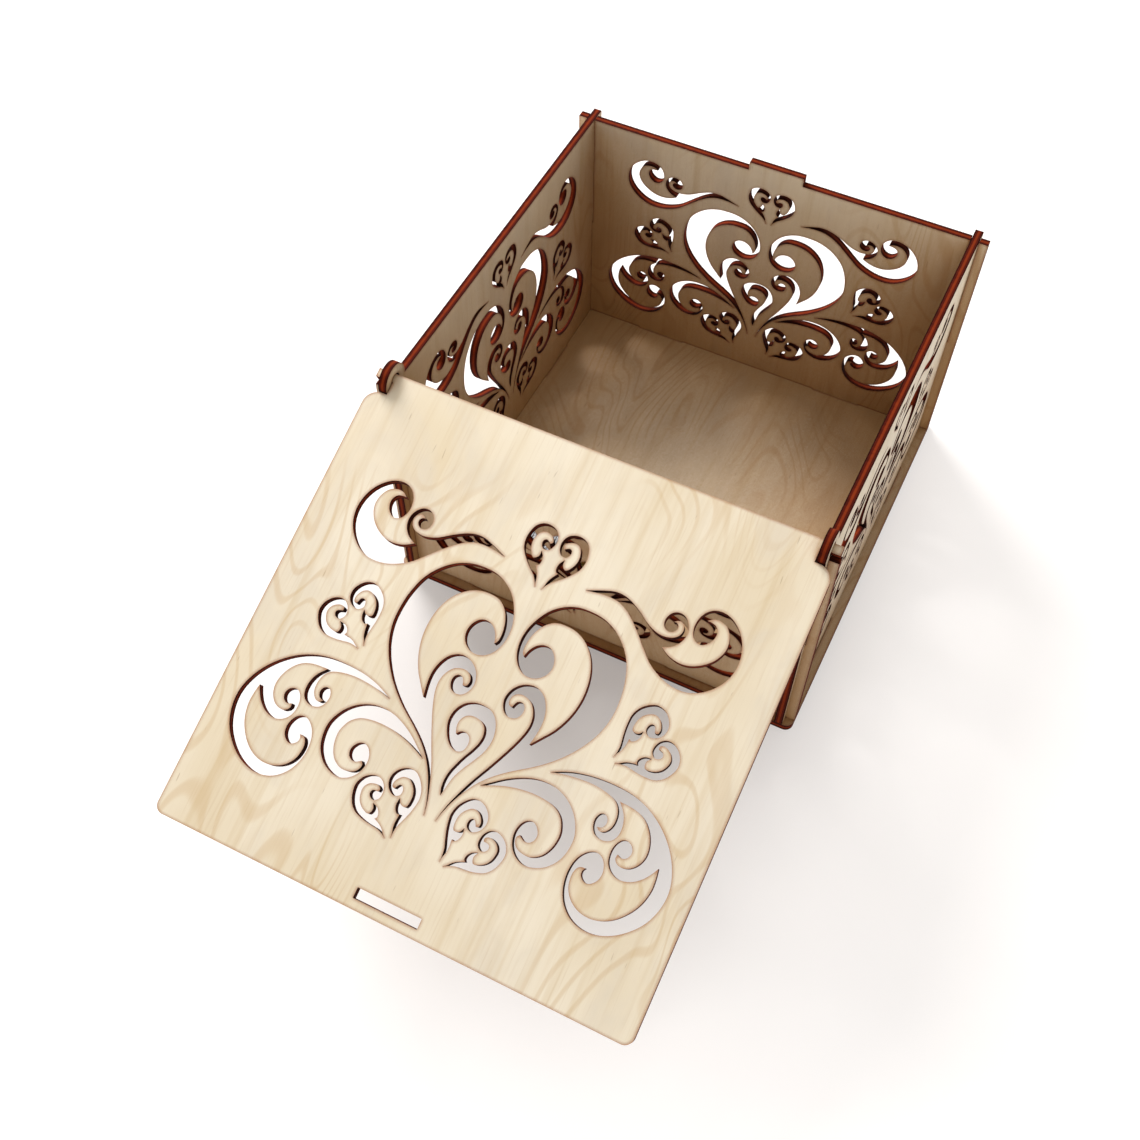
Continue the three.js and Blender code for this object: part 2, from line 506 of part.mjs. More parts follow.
function barrelBracket() {
  const { barrelX, thickness } = BRACKET;
  const outline = archOutline(AXIS.y + 2.5, AXIS.z + 2, 11, AXIS.y - 8.5, AXIS.y + 13.5);
  const bores = [
    { ...AXIS, r: SHAFT.arbor + SHAFT.play },
    { ...CLICK.pivot, r: CLICK.screw + SHAFT.play },
  ];
  return bracket('barrel_bracket', barrelX, outline, bores,
    [barrelX + thickness - 0.5, INNER - 0.6], [AXIS.y - 8.5, AXIS.y + 8.5], BARREL_BRACKET_SCREWS);
}

function cylinderBracket() {
  const { cylinderX, thickness } = BRACKET;
  const outline = [[AXIS.y - 6, SEAT], [AXIS.y + 6, SEAT], [AXIS.y + 6, AXIS.z], [IDLER.y + 4, IDLER.z - 2],
    [IDLER.y + 4, IDLER.z + 2], [IDLER.y + 1.5, IDLER.z + 4.5], [AXIS.y - 1, AXIS.z + 7],
    [AXIS.y - 6, AXIS.z + 3]];
  const bores = [{ ...AXIS, r: SHAFT.thin + SHAFT.play }, { ...IDLER, r: SHAFT.idler + SHAFT.play }];
  return bracket('cylinder_bracket', cylinderX, outline, bores,
    [cylinderX - 7, cylinderX + 0.5], [AXIS.y - 7.5, AXIS.y + 4.5], CYLINDER_BRACKET_SCREWS);
}

/** C-shaped frame that holds the worm upright between its two arms. */
function governorBracket() {
  const { arm, width, front, back, foot } = GOVERNOR_FRAME;
  const y0 = WORM.y - front;
  const y1 = WORM.y + back;
  const z0 = SEAT;
  const z1 = WORM.top - 1;
  const profile = new THREE.Shape([
    v2(y0, z0), v2(y1 + foot, z0), v2(y1 + foot, z0 + arm), v2(y1, z0 + arm), v2(y1, z1), v2(y0, z1),
    v2(y0, z1 - arm), v2(y1 - arm, z1 - arm), v2(y1 - arm, z0 + arm), v2(y0, z0 + arm),
  ]);
  const body = uprightPlate(extrude(profile, width), WORM.x - width / 2);
  const upright = (x, y, r) => ring(0, r, 0, 40, 12).rotateX(Math.PI / 2).translate(x, y, 0);
  const bearing = upright(WORM.x, WORM.y, boreRadius(WORM.shaft + SHAFT.play, 12));
  const screwHole = upright(...GOVERNOR_SCREW, boreRadius(SCREW.hole, 12));
  return named('governor_bracket', build([body], [bearing, screwHole]), brass());
}

/** Small post that carries the idler arbor's outer end. */
function idlerPost() {
  const outline = archOutline(IDLER.y, IDLER.z, POST.r, IDLER.y - POST.r, IDLER.y + POST.r, 6);
  const shape = new THREE.Shape(outline.map(([y, z]) => v2(y, z)));
  shape.holes.push(roundHole(IDLER.y, IDLER.z, SHAFT.idler + SHAFT.play));
  return named('idler_post', uprightPlate(extrude(shape, BRACKET.thickness, 4), POST.x), brass());
}

// -------------------------------------------------------------------------------------- comb and gearing
function comb() {
  const { teeth, pitch, slit, thickness, tipGap, back, x0, longest, shortest } = COMB;
  const tip = AXIS.y + CYLINDER.r + CYLINDER.pin + tipGap;
  const root = (i) => tip + THREE.MathUtils.lerp(longest, shortest, i / (teeth - 1));
  const width = teeth * pitch;
  const shape = new THREE.Shape();
  shape.moveTo(x0, back);
  shape.lineTo(x0, tip);
  for (let i = 0; i < teeth - 1; i += 1) {
    const x = x0 + (i + 1) * pitch;
    shape.lineTo(x - slit / 2, tip);
    shape.lineTo(x - slit / 2, root(i));
    shape.lineTo(x + slit / 2, root(i));
    shape.lineTo(x + slit / 2, tip);
  }
  shape.lineTo(x0 + width, tip);
  shape.lineTo(x0 + width, back);
  for (const [x, y] of COMB_SCREWS) shape.holes.push(roundHole(x, y, SCREW.hole, 6));
  return at(named('comb', extrude(shape, thickness, 3), steel()), 0, 0, AXIS.z - thickness / 2);
}

function combBase() {
  const { y0, y1, margin } = COMB_BASE;
  const shape = roundedRectangle(COMB.x0 - margin, y0, COMB.x0 + COMB.teeth * COMB.pitch + margin, y1, 1);
  for (const [x, y] of COMB_SCREWS) shape.holes.push(roundHole(x, y, SCREW.hole, 6));
  const height = AXIS.z - COMB.thickness / 2 - 0.1 - SEAT;
  return at(named('comb_base', extrude(shape, height, 3), zinc()), 0, 0, SEAT);
}

/** Spur gear in x and y about the origin, with a tooth on +x, or a gap there if shifted by half a tooth. */
function gearShape(teeth, bore, shift = 0) {
  const pitchR = (GEAR_MODULE * teeth) / 2;
  const tipR = pitchR + GEAR_MODULE * 0.8;
  const rootR = pitchR - GEAR_MODULE * 1.15;
  const step = TURN / teeth;
  const points = [];
  for (let i = 0; i < teeth; i += 1) {
    const middle = (i + shift) * step;
    for (const [r, part] of [[rootR, -0.3], [tipR, -0.12], [tipR, 0.12], [rootR, 0.3]]) {
      points.push(v2(r * Math.cos(middle + part * step), r * Math.sin(middle + part * step)));
    }
  }
  const shape = new THREE.Shape(points);
  shape.holes.push(roundHole(0, 0, bore));
  return shape;
}

/** Cylinder drum with its pins: each comb tooth has a track, and the pins step round it by a fixed turn. */
function musicCylinder() {
  const { x0, x1, r, wall, end, pin, pinWidth } = CYLINDER;
  const bore = boreRadius(SHAFT.thin + SHAFT.fit, 24);
  const inside = r - wall;
  const drum = lathe([
    [bore, x0], [r, x0], [r, x1], [bore, x1], [bore, x1 - end], [inside, x1 - end],
    [inside, x0 + end], [bore, x0 + end], [bore, x0],
  ], 24);
  const pins = [];
  for (let track = 0; track < COMB.teeth; track += 1) {
    const x = COMB.x0 + (track + 0.5) * COMB.pitch;
    for (let note = 0; note < 1 + (track % 3 === 0); note += 1) {
      const turn = radians(PIN_STEP * (track * 2 + note) + 20);
      const peg = new THREE.BoxGeometry(pin + 0.4, pinWidth, pinWidth).translate(r + pin / 2 - 0.2, 0, 0);
      pins.push(peg.rotateY(turn).translate(0, x, 0));
    }
  }
  return alongX(named('music_cylinder', build([drum, ...pins]), brass()));
}

/** Gear on the cylinder's arbor, and the idler's pinion and wheel that carry its turning to the worm. */
function cylinderTrain() {
  // The gap beside +x turns to face the idler, which stands at this angle from local -x.
  const towardsIdler = Math.atan2(IDLER.y - AXIS.y, -(IDLER.z - AXIS.z));
  const gearOutline = gearShape(CYLINDER_GEAR.teeth, SHAFT.thin + SHAFT.fit, 0.5);
  const gearBody = extrude(gearOutline, CYLINDER_GEAR.thickness, 4);
  const pinionBody = extrude(gearShape(PINION.teeth, SHAFT.idler + SHAFT.fit), PINION.thickness, 4);
  const wheelBody = extrude(gearShape(WHEEL.teeth, SHAFT.idler + SHAFT.fit), WHEEL.thickness, 4);
  const gear = named('cylinder_gear', gearBody.rotateZ(towardsIdler), brass());
  const pinion = named('idler_pinion', pinionBody.rotateZ(towardsIdler + Math.PI), steel());
  const wheel = named('idler_wheel', wheelBody, brass());
  const arborStart = BRACKET.cylinderX - 1.4;
  const arborEnd = BARREL.x0 + BARREL.floor;
  const arbor = named('cylinder_arbor', ring(0, SHAFT.thin, arborStart, arborEnd, 16), steel());
  const idlerArbor = named('idler_arbor', ring(0, SHAFT.idler, POST.x - 0.2, PINION.x + 3.6, 12), steel());
  return [
    facingX(gear, CYLINDER_GEAR.x),
    alongX(arbor),
    facingX(pinion, PINION.x, IDLER.y, IDLER.z),
    facingX(wheel, WORM.x - WHEEL.thickness / 2, IDLER.y, IDLER.z),
    alongX(idlerArbor, IDLER.y, IDLER.z),
  ];
}

/** Governor: an upright shaft with worm threads at the idler wheel's height and an air fan above them. */
function governor() {
  const pitch = Math.PI * GEAR_MODULE;
  const { r, shaft, bottom, top, threads } = WORM;
  const start = IDLER.z - (threads * pitch) / 2;
  const profile = [[0, bottom], [shaft, bottom]];
  for (let i = 0; i < threads; i += 1) {
    const z = start + i * pitch;
    profile.push([shaft, z], [r, z + pitch * 0.35], [r, z + pitch * 0.6], [shaft, z + pitch * 0.95]);
  }
  profile.push([shaft, top], [0, top]);
  const worm = named('governor_worm', lathe(profile, 8), steel());
  worm.rotation.x = Math.PI / 2;
  at(worm, WORM.x, WORM.y, 0);
  const { hubR, span, blade, height } = FAN;
  const hub = ring(0, hubR, 0, height, 12).rotateX(Math.PI / 2);
  const blades = new THREE.BoxGeometry(span, blade, height).translate(0, 0, height / 2);
  const bore = ring(0, boreRadius(shaft + SHAFT.fit, 12), -1, height + 1, 12).rotateX(Math.PI / 2);
  const fan = named('governor_fan', build([hub, blades], [bore]), brass());
  return [worm, at(fan, WORM.x, WORM.y, FAN.z)];
}

// ------------------------------------------------------------------------------------------ spring drive
function springBarrel() {
  const { x0, x1, r, wall, floor, lid: cover } = BARREL;
  const bore = boreRadius(SHAFT.thin + SHAFT.fit, 24);
  const inside = r - wall;
  const cup = named('spring_barrel', lathe([
    [bore, x0], [r, x0], [r, x1], [inside, x1], [inside, x0 + floor], [bore, x0 + floor], [bore, x0],
  ], 24), brass());
  const coverBore = boreRadius(SHAFT.arbor + SHAFT.play, 24);
  const cap = named('barrel_cover', ring(coverBore, inside - JOINT_GAP, x1 - cover, x1), brass());
  return [alongX(cup), alongX(cap)];
}

/** Flat spiral spring between the arbor's core and the barrel's wall. */
function mainspring() {
  const { x0, x1, r, wall, floor, lid: cover } = BARREL;
  const { core, thickness, turns, play } = SPRING;
  const steps = 14 * turns;
  const inner = core + 0.3;
  const outer = r - wall - thickness - 0.2;
  const point = (i, offset) => {
    const turn = (TURN * turns * i) / steps;
    const radius = inner + ((outer - inner) * i) / steps + offset;
    return v2(radius * Math.cos(turn), radius * Math.sin(turn));
  };
  const points = [];
  for (let i = 0; i <= steps; i += 1) points.push(point(i, 0));
  for (let i = steps; i >= 0; i -= 1) points.push(point(i, thickness));
  const width = x1 - cover - (x0 + floor) - 2 * play;
  return facingX(named('mainspring', extrude(new THREE.Shape(points), width), blued()), x0 + floor + play);
}

/** Arbor from the spring's core out through the wall, its ratchet wheel, and the key on its end. */
function winder() {
  const { x0, x1, floor, lid: cover } = BARREL;
  const core0 = x0 + floor + 0.4;
  const core1 = x1 - cover - 0.3;
  const end = KEY.x + KEY.socket;
  const arbor = named('winding_arbor', lathe([
    [0, core0], [SPRING.core, core0], [SPRING.core, core1],
    [SHAFT.arbor, core1], [SHAFT.arbor, end], [0, end],
  ], 20), steel());
  const points = [];
  for (let i = 0; i < RATCHET.teeth; i += 1) {
    for (const [r, part] of [[RATCHET.root, 0], [RATCHET.r, 0.92]]) {
      const turn = (TURN * (i + part)) / RATCHET.teeth;
      points.push(v2(r * Math.cos(turn), r * Math.sin(turn)));
    }
  }
  const teeth = new THREE.Shape(points);
  teeth.holes.push(roundHole(0, 0, SHAFT.arbor + SHAFT.fit));
  const ratchet = named('ratchet_wheel', extrude(teeth, RATCHET.thickness, 5), steel());
  return [alongX(arbor), facingX(ratchet, RATCHET.x), windingKey()];
}

/** Butterfly key: a socket hub with two round wings, each with a finger hole. */
function windingKey() {
  const { x, hubR, socket, hubLength, lobeR, lobeOffset, lobeX, rim, thickness, tilt } = KEY;
  const bore = boreRadius(SHAFT.arbor + SHAFT.fit, 18);
  const floor = x + socket + 0.2;
  const hub = lathe([
    [bore, x], [hubR - 0.4, x], [hubR, x + 0.4], [hubR, x + socket], [hubR - 0.8, x + hubLength],
    [0, x + hubLength], [0, floor], [bore, floor], [bore, x],
  ], 18);
  const neck = new THREE.BoxGeometry(3.4, 6, thickness).translate(0, x + lobeX - 1.8, 0);
  const parts = [hub, neck];
  for (const side of [-1, 1]) {
    const lobe = new THREE.Shape().absarc(side * lobeOffset, x + lobeX, lobeR, 0, TURN);
    lobe.holes.push(roundHole(side * lobeOffset, x + lobeX, lobeR - rim));
    parts.push(extrude(lobe, thickness, 8).translate(0, 0, -thickness / 2));
  }
  const mesh = named('winding_key', build(parts), brass());
  mesh.geometry.rotateY(radians(tilt));
  return alongX(mesh);
}

/** Click that lets the ratchet turn one way only. */
function click() {
  const { pivot, screw: screwR, eyeR, thickness } = CLICK;
  const nose = v2(CLICK_NOSE.y, CLICK_NOSE.z);
  const middle = v2(pivot.y, pivot.z);
  const across = nose.clone().sub(middle).normalize().rotateAround(v2(0, 0), Math.PI / 2);
  const wide = 1.6;
  const narrow = 0.4;
  const arm = new THREE.Shape([
    middle.clone().addScaledVector(across, wide), nose.clone().addScaledVector(across, narrow),
    nose.clone().addScaledVector(across, -narrow), middle.clone().addScaledVector(across, -wide),
  ]);
  const eye = extrude(new THREE.Shape().absarc(pivot.y, pivot.z, eyeR, 0, TURN), thickness, 8);
  const bore = extrude(roundHole(pivot.y, pivot.z, screwR + SHAFT.play), 4).translate(0, 0, -1);
  const body = build([eye, extrude(arm, thickness)], [bore]);
  return named('click', uprightPlate(body, RATCHET.x), steel());
}

/** Shoulder screw that the click swings on, held in the barrel's bracket. */
function clickScrew() {
  const { pivot, screw: shank, headR, thickness } = CLICK;
  const start = BRACKET.barrelX + 0.2;
  const head = RATCHET.x + thickness + JOINT_GAP;
  const top = head + 0.9;
  const body = lathe([[0, start], [shank, start], [shank, head], [headR, head], [headR, top], [0, top]], 14);
  return alongX(named('click_screw', body, steel()), pivot.y, pivot.z);
}

/** Bent strip above the click that presses it down. */
function clickSpring() {
  const { y, z } = CLICK.pivot;
  const run = (rise) => [v2(y + 2.6, z + 2.2 + rise), v2(y - 1, z + 2.9 + rise), v2(y - 4.5, z + 1.4 + rise)];
  const strip = new THREE.Shape([...run(0), ...run(0.4).reverse()]);
  const besideBracket = BRACKET.barrelX + BRACKET.thickness + 0.1;
  return named('click_spring', uprightPlate(extrude(strip, 1.2), besideBracket), blued());
}

// ------------------------------------------------------------------------------------------------ whole
const musicBox = new THREE.Group();
musicBox.add(
  basePlate(),
  crossWall('front_wall', -OUTER, WALL_TOP, true, -1),
  crossWall('back_wall', OUTER, BACK_TOP, false, 1),
  sideWall('right_wall', INNER, -1, true),
  sideWall('left_wall', -OUTER, 1, false),
  lid(),
  bedPlate(), combBase(), comb(), barrelBracket(), cylinderBracket(), governorBracket(), idlerPost(),
  ...screws(),
  musicCylinder(), ...cylinderTrain(), ...governor(),
  ...springBarrel(), mainspring(), ...winder(), click(), clickScrew(), clickSpring(),
);

export default musicBox;
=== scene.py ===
import json
import math
import random

import bmesh
import bpy
from mathutils import Matrix, Vector


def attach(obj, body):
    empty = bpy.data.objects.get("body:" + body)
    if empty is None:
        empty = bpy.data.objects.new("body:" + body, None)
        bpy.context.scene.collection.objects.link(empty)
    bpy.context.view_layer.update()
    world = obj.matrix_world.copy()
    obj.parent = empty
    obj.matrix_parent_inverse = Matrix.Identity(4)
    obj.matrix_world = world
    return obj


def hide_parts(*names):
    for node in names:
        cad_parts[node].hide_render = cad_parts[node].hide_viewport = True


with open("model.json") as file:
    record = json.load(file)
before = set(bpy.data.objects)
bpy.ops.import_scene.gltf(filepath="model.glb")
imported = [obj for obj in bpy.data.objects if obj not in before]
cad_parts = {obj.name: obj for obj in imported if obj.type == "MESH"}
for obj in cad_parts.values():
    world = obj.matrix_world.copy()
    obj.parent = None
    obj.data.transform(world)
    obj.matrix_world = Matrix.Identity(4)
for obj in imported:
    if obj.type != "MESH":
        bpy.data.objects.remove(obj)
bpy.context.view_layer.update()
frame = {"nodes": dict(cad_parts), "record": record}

# A laser-cut plywood box with a filigree lid folded right back, and a wind-up comb movement on its floor.
# One piece stands for each CAD node: the panels and the turned parts are drawn afresh, and the other metal parts
# take the CAD's own surface. Pieces are drawn in millimetres, in the CAD's frame, and built in metres.
MM = 0.001
PLY = 3.0
FOOT, OVERHANG, CORNER_R = 160.0, 3.4, 3.0
WALL_TOP, BACK_TOP = 103.0, 102.0
GAP = 0.15
HALF = FOOT / 2
OUTER = HALF - OVERHANG
INNER = OUTER - PLY
LAP_Z = (PLY + WALL_TOP) / 2
TAB_HALF, TAB_DEPTH, TAB_OFFSET = 10.0, 2.8, 40.0
LID_TAB_HALF, LID_TAB_HEIGHT = 10.55, 3.4
HINGE_Y, HINGE_Z = 74.2, WALL_TOP + 0.2 + PLY / 2
EAR_R, EAR_HOLE, EAR_RELIEF = 5.8, 2.45, math.pi / 4
LID_LENGTH, LID_HALF, LID_PEG = 155.5, 79.9, 79.7
LID_NOTCH_X, LID_NOTCH, LID_SHOULDER = 73.3, 7.6, 5.0
LID_OPEN = math.radians(200.5)
LID_SLOT = (3.05, 6.35, 10.75)  # near edge, far edge and half width
AXIS_Y, AXIS_Z = 31.0, 14.5  # the cylinder's, barrel's and key's common axis, along x
KEY_HOLE = 3.2
BED_SCREWS = [(11, 21), (11, 66), (69, 19.5), (69, 66)]
BED_SCREW_HOLE = 1.15
NODE_BODY = {node: body for body, nodes in frame["record"]["behaviour"]["bodies"].items() for node in nodes}
SLOT_OF = {row["node"]: row["material_slot"] for row in frame["record"]["subparts"]}
SHARP, CUT_SHARP = math.radians(35), math.radians(38)  # creases above these are shaded as edges
MERGE, MERGE_MM, COPLANAR = 1e-6, 0.002, math.radians(1)

# ---------------------------------------------------------------- camera: the photograph's angle, no shift
AZIMUTH, ELEVATION, ROLL = math.radians(206.353), math.radians(55.961), math.radians(0.07)
CAMERA_AT = Vector((-0.110699, 0.318722, 0.440247))
LENS, SENSOR = 43.528, 36


def make_camera():
    back = Vector((math.sin(AZIMUTH) * math.cos(ELEVATION), -math.cos(AZIMUTH) * math.cos(ELEVATION),
                   math.sin(ELEVATION)))
    right = Vector((math.cos(AZIMUTH), math.sin(AZIMUTH), 0))
    up = back.cross(right)
    turned_right = right * math.cos(ROLL) + up * math.sin(ROLL)
    turned_up = up * math.cos(ROLL) - right * math.sin(ROLL)
    camera = bpy.data.objects.new("camera", bpy.data.cameras.new("camera"))
    camera.data.lens = LENS
    camera.data.sensor_width = SENSOR
    rotation = Matrix((turned_right, turned_up, back)).transposed().to_4x4()
    camera.matrix_world = Matrix.Translation(CAMERA_AT) @ rotation
    bpy.context.scene.collection.objects.link(camera)
    bpy.context.scene.camera = camera


# ------------------------------------------------------------ filigree, at the lid's size, in mm
TOP_SWIRL = [
  [[13.8, 113.7], [19, 115.8], [23, 116.9], [27, 116.4], [31.5, 114.2], [36, 111.3], [40, 110], [43.2, 110.3],
   [45.2, 111.5], [46, 113.3], [45.7, 115], [44.6, 116], [43.4, 115.9], [42.3, 115.1]],
  [[43.2, 115.2], [44.1, 114.4], [44.1, 113.2], [43.1, 112.1], [41.6, 111.9], [40.2, 112.9], [39.7, 114.8],
   [40.5, 117], [42.2, 118.2], [44.2, 118.2], [46, 117], [47.3, 114.7], [47.4, 112], [46.3, 109.6],
   [44.6, 107.9], [42.2, 106.7]],
  [[45, 105.1], [48.5, 104.3], [52, 104.7], [55.5, 106.5], [58.3, 109.3], [59.9, 113], [59.6, 116.5],
   [58, 119.3], [55.7, 120.5], [53.3, 120.5], [51.4, 119.3]],
  [[53, 119.2], [54.5, 118.6], [55.5, 117], [55.4, 115], [54.3, 113], [52.4, 111.8], [50.4, 112.3],
   [49, 114.1], [48.5, 116.7], [49.1, 119.7], [50.8, 122.1], [53.3, 123.3], [56.2, 123.2], [59.2, 121.8],
   [62.2, 118.9], [64.2, 115], [64.9, 110.6], [64.2, 106.3], [62, 102.3], [58.5, 99], [54.5, 97.2],
   [50, 97], [45.5, 98.2], [41, 100.7], [37.5, 104], [34, 107.6], [30.8, 110.6], [27.5, 113], [24, 114.4],
   [19.5, 114.6], [13.8, 113.7]]]
HEART_LOBE = [
  [[1.9, 32.8], [2.9, 36.7], [4.4, 40.7], [6.3, 44.5], [9, 48.5], [12.7, 52.3], [17, 55.7], [21.5, 58.8],
   [25.5, 62], [29.5, 66], [33.2, 71], [35.7, 76], [37.1, 81.5], [37.2, 87], [36.4, 92.5], [34.5, 98],
   [31.5, 102.3], [27.5, 105.7], [23, 107.7], [18.5, 108.3], [14, 108], [10, 106.4], [6.5, 103.6],
   [4, 99.8], [2.4, 95.5], [2.1, 91], [3.1, 87], [5.2, 84.2], [8, 82.8], [11, 83.1], [13.6, 85.1],
   [14.6, 88], [13.9, 91], [11.9, 93.1], [9.5, 93.4], [7.3, 92.3], [5.8, 90.3], [5, 87.9]],
  [[4.2, 89.2], [4.1, 92], [4.9, 95.5], [6.6, 98.6], [9.3, 100.8], [12.8, 101.4], [16.5, 101], [20, 99.4],
   [23.2, 96.4], [25.4, 92.4], [26.6, 87.5], [26.7, 82], [25.5, 76.5], [23.2, 71.5], [20.5, 67.8],
   [18, 64.6]],
  [[18.8, 69.5], [18.8, 73], [17.9, 76.3], [16.2, 79], [13.8, 80.6], [11.4, 80.9], [8.5, 79.9], [6.2, 77.6],
   [5.2, 74.5], [5.8, 71.8], [7.3, 70], [9.2, 69.5], [11.1, 70.2], [12.1, 72], [12, 73.9], [10.8, 75],
   [9.4, 74.7], [8.7, 73.6], [8.4, 72.6]],
  [[7.2, 72.9], [6.8, 74.5], [7.5, 76.2], [9.2, 77.1], [11.2, 77], [13.4, 75.9], [15, 73.6], [15.7, 70.8],
   [15.4, 67.5], [14, 63.2], [12, 58.5], [9.5, 53.2], [6.8, 47.8], [4.5, 42.3], [2.8, 37.2], [1.9, 32.8]]]
OUTER_SCROLL = [
  [[27.2, 59.8], [31, 61.6], [35, 62.9], [40, 63.8], [46, 64.1], [52, 63.6], [57.5, 61.9], [62.5, 59],
   [67, 54.9], [70.5, 49.8], [72.5, 44], [72.4, 38.5], [70.5, 33], [67.2, 28.7], [63, 25.4], [58.3, 23.5],
   [54, 23.3], [50, 24.6], [46.8, 27.3], [44.8, 30.8], [43.9, 35], [44.2, 39], [45.5, 42], [47.7, 44],
   [50, 44.4], [52.1, 43], [53.2, 40.2], [52.8, 37.5], [51.2, 35.7], [49.5, 35.4], [48, 36.5],
   [47.6, 37.9], [48.2, 39.1]],
  [[46.6, 38.8], [45.6, 37.5], [45.3, 35.2], [46, 32], [48.2, 29.1], [51.5, 27.3], [55.3, 26.9],
   [59, 27.9], [62.3, 30.1], [65.2, 33.5], [67, 37], [67.9, 41], [67.8, 44.5], [67.3, 47.6]],
  [[66, 45.2], [64.3, 43], [62, 41.2], [59.5, 40.3], [57.3, 40.3], [55, 41.4], [53.4, 43.5], [52.9, 46.3],
   [53.3, 48.7], [54.5, 50.5], [56.1, 51], [57.8, 50.2], [58.6, 48.5], [58, 46.7], [56.6, 45.9],
   [55, 46.4]],
  [[54.9, 45.1], [55.9, 43.9], [57.6, 43.5], [59.8, 44.2], [61.7, 46.2], [62.7, 49], [62.4, 52.3],
   [60.8, 55.8], [58.1, 58.6], [54.5, 60], [49.4, 60.4]],
  [[51.7, 57.8], [52.9, 55], [53.1, 52], [52.2, 49.7], [50.4, 48.5], [48.4, 48.3], [46.4, 49.1],
   [45.2, 50.9], [44.9, 53], [45.6, 54.8], [46.8, 55.3], [48, 54.7], [48.5, 53.2], [47.8, 51.6],
   [46.3, 51.1]],
  [[47.3, 50.3], [48.8, 50.6], [50.2, 52.4], [50.6, 55], [50, 57.8], [48.3, 59.9], [45.5, 61], [42, 61.6],
   [38.5, 61.7], [34, 61.3], [30, 60.6], [27.2, 59.8]]]
INNER_SCROLL = [
  [[9.7, 47.8], [12.5, 50], [16, 52.6], [20, 54.8], [24, 56.2], [28, 56.6], [32, 56], [36, 54],
   [39.3, 50.7], [41.4, 46.3], [41.5, 42], [40.3, 38], [37.6, 34.7], [34.2, 32.9], [31, 32.5],
   [28.1, 33.7], [26, 36], [25, 39], [25.2, 41.7], [26.4, 43.8], [28.3, 44.7], [30.1, 44], [31.4, 42],
   [31.2, 40], [30, 38.8], [28.4, 38.7], [26.7, 39.7]],
  [[26, 38.7], [26.3, 37.3], [27.5, 35.9], [29.5, 35.2], [32.1, 35.2], [34.9, 36.9], [36.7, 39.9],
   [37.4, 43.3], [37.1, 46], [35.6, 49], [33, 51], [29.5, 51.9], [25, 52.1], [20, 51.5], [15, 50.1],
   [9.7, 47.8]]]
MIDDLE_SCROLL = [
  [[0, 40.3], [-0.8, 42.5], [-1, 45], [-0.7, 47.5], [0.1, 50], [1.3, 53], [2.8, 56], [3.9, 59], [4.1, 61.5],
   [3.4, 63.7], [2, 64.9], [0.3, 65.4], [-1.5, 65.4], [-3.2, 64.7], [-4.3, 63.2], [-4.6, 61],
   [-3.8, 58.6]],
  [[-2.9, 59.7], [-1.7, 60.1], [-0.5, 59.9], [0.6, 59], [1, 57.3], [0.6, 55.3], [-0.6, 54.2], [-2.3, 54.1],
   [-4.5, 55.3], [-6.5, 58], [-7.7, 61.5], [-7.2, 65], [-5.4, 67.7], [-2.8, 69.2], [0, 69.6], [3, 69.1],
   [5.3, 67.3], [6.8, 64.2], [7.2, 60.5], [6.4, 57], [4.8, 53.8], [2.8, 50.3], [1.3, 47], [0.6, 44],
   [0, 40.3]]]
HALF_HEART = [
  [[0, 0], [0.7, 1.5], [2, 3.3], [3.6, 4.7], [5.5, 6.4], [7.3, 8.4], [8.6, 10.4], [9.2, 13], [8.9, 15.8],
   [7.9, 18.2], [6, 19.6], [3.8, 19.9], [1.6, 19.2], [0.2, 17.7], [-0.3, 15.7], [0.1, 13.8], [1.1, 12.4],
   [2.4, 12.1], [3.3, 12.5], [3.9, 13.7], [3.7, 14.8], [2.8, 15.2], [1.4, 14.4]],
  [[0.8, 15.1], [1.3, 16.3], [2.5, 17.1], [4.1, 17.4], [5.7, 16.7], [6.6, 15], [6.9, 12.9], [6.4, 10.8],
   [5.3, 9], [4.5, 8.4]],
  [[3.7, 8.8], [3, 9.8], [3, 11.4]],
  [[1.9, 9.8], [1.6, 8.1], [2, 6.9], [2.8, 6.6]],
  [[1.7, 5], [0.9, 3.3], [0.5, 1.5], [0, 0]]]
HALF_HEART_PLACES = [
  {"tip": [1, 108.5], "across": [1, 0], "up": [0, 1]},
  {"tip": [43.4, 69.7], "across": [0.73, -0.8], "up": [0.64, 0.7]},
  {"tip": [42.3, 71.1], "across": [-0.77, 0.77], "up": [0.65, 0.72]},
  {"tip": [9.7, 22.1], "across": [0.86, -0.61], "up": [0.48, 0.86]},
  {"tip": [8.2, 22.9], "across": [-0.9, 0.55], "up": [0.47, 0.89]},
]

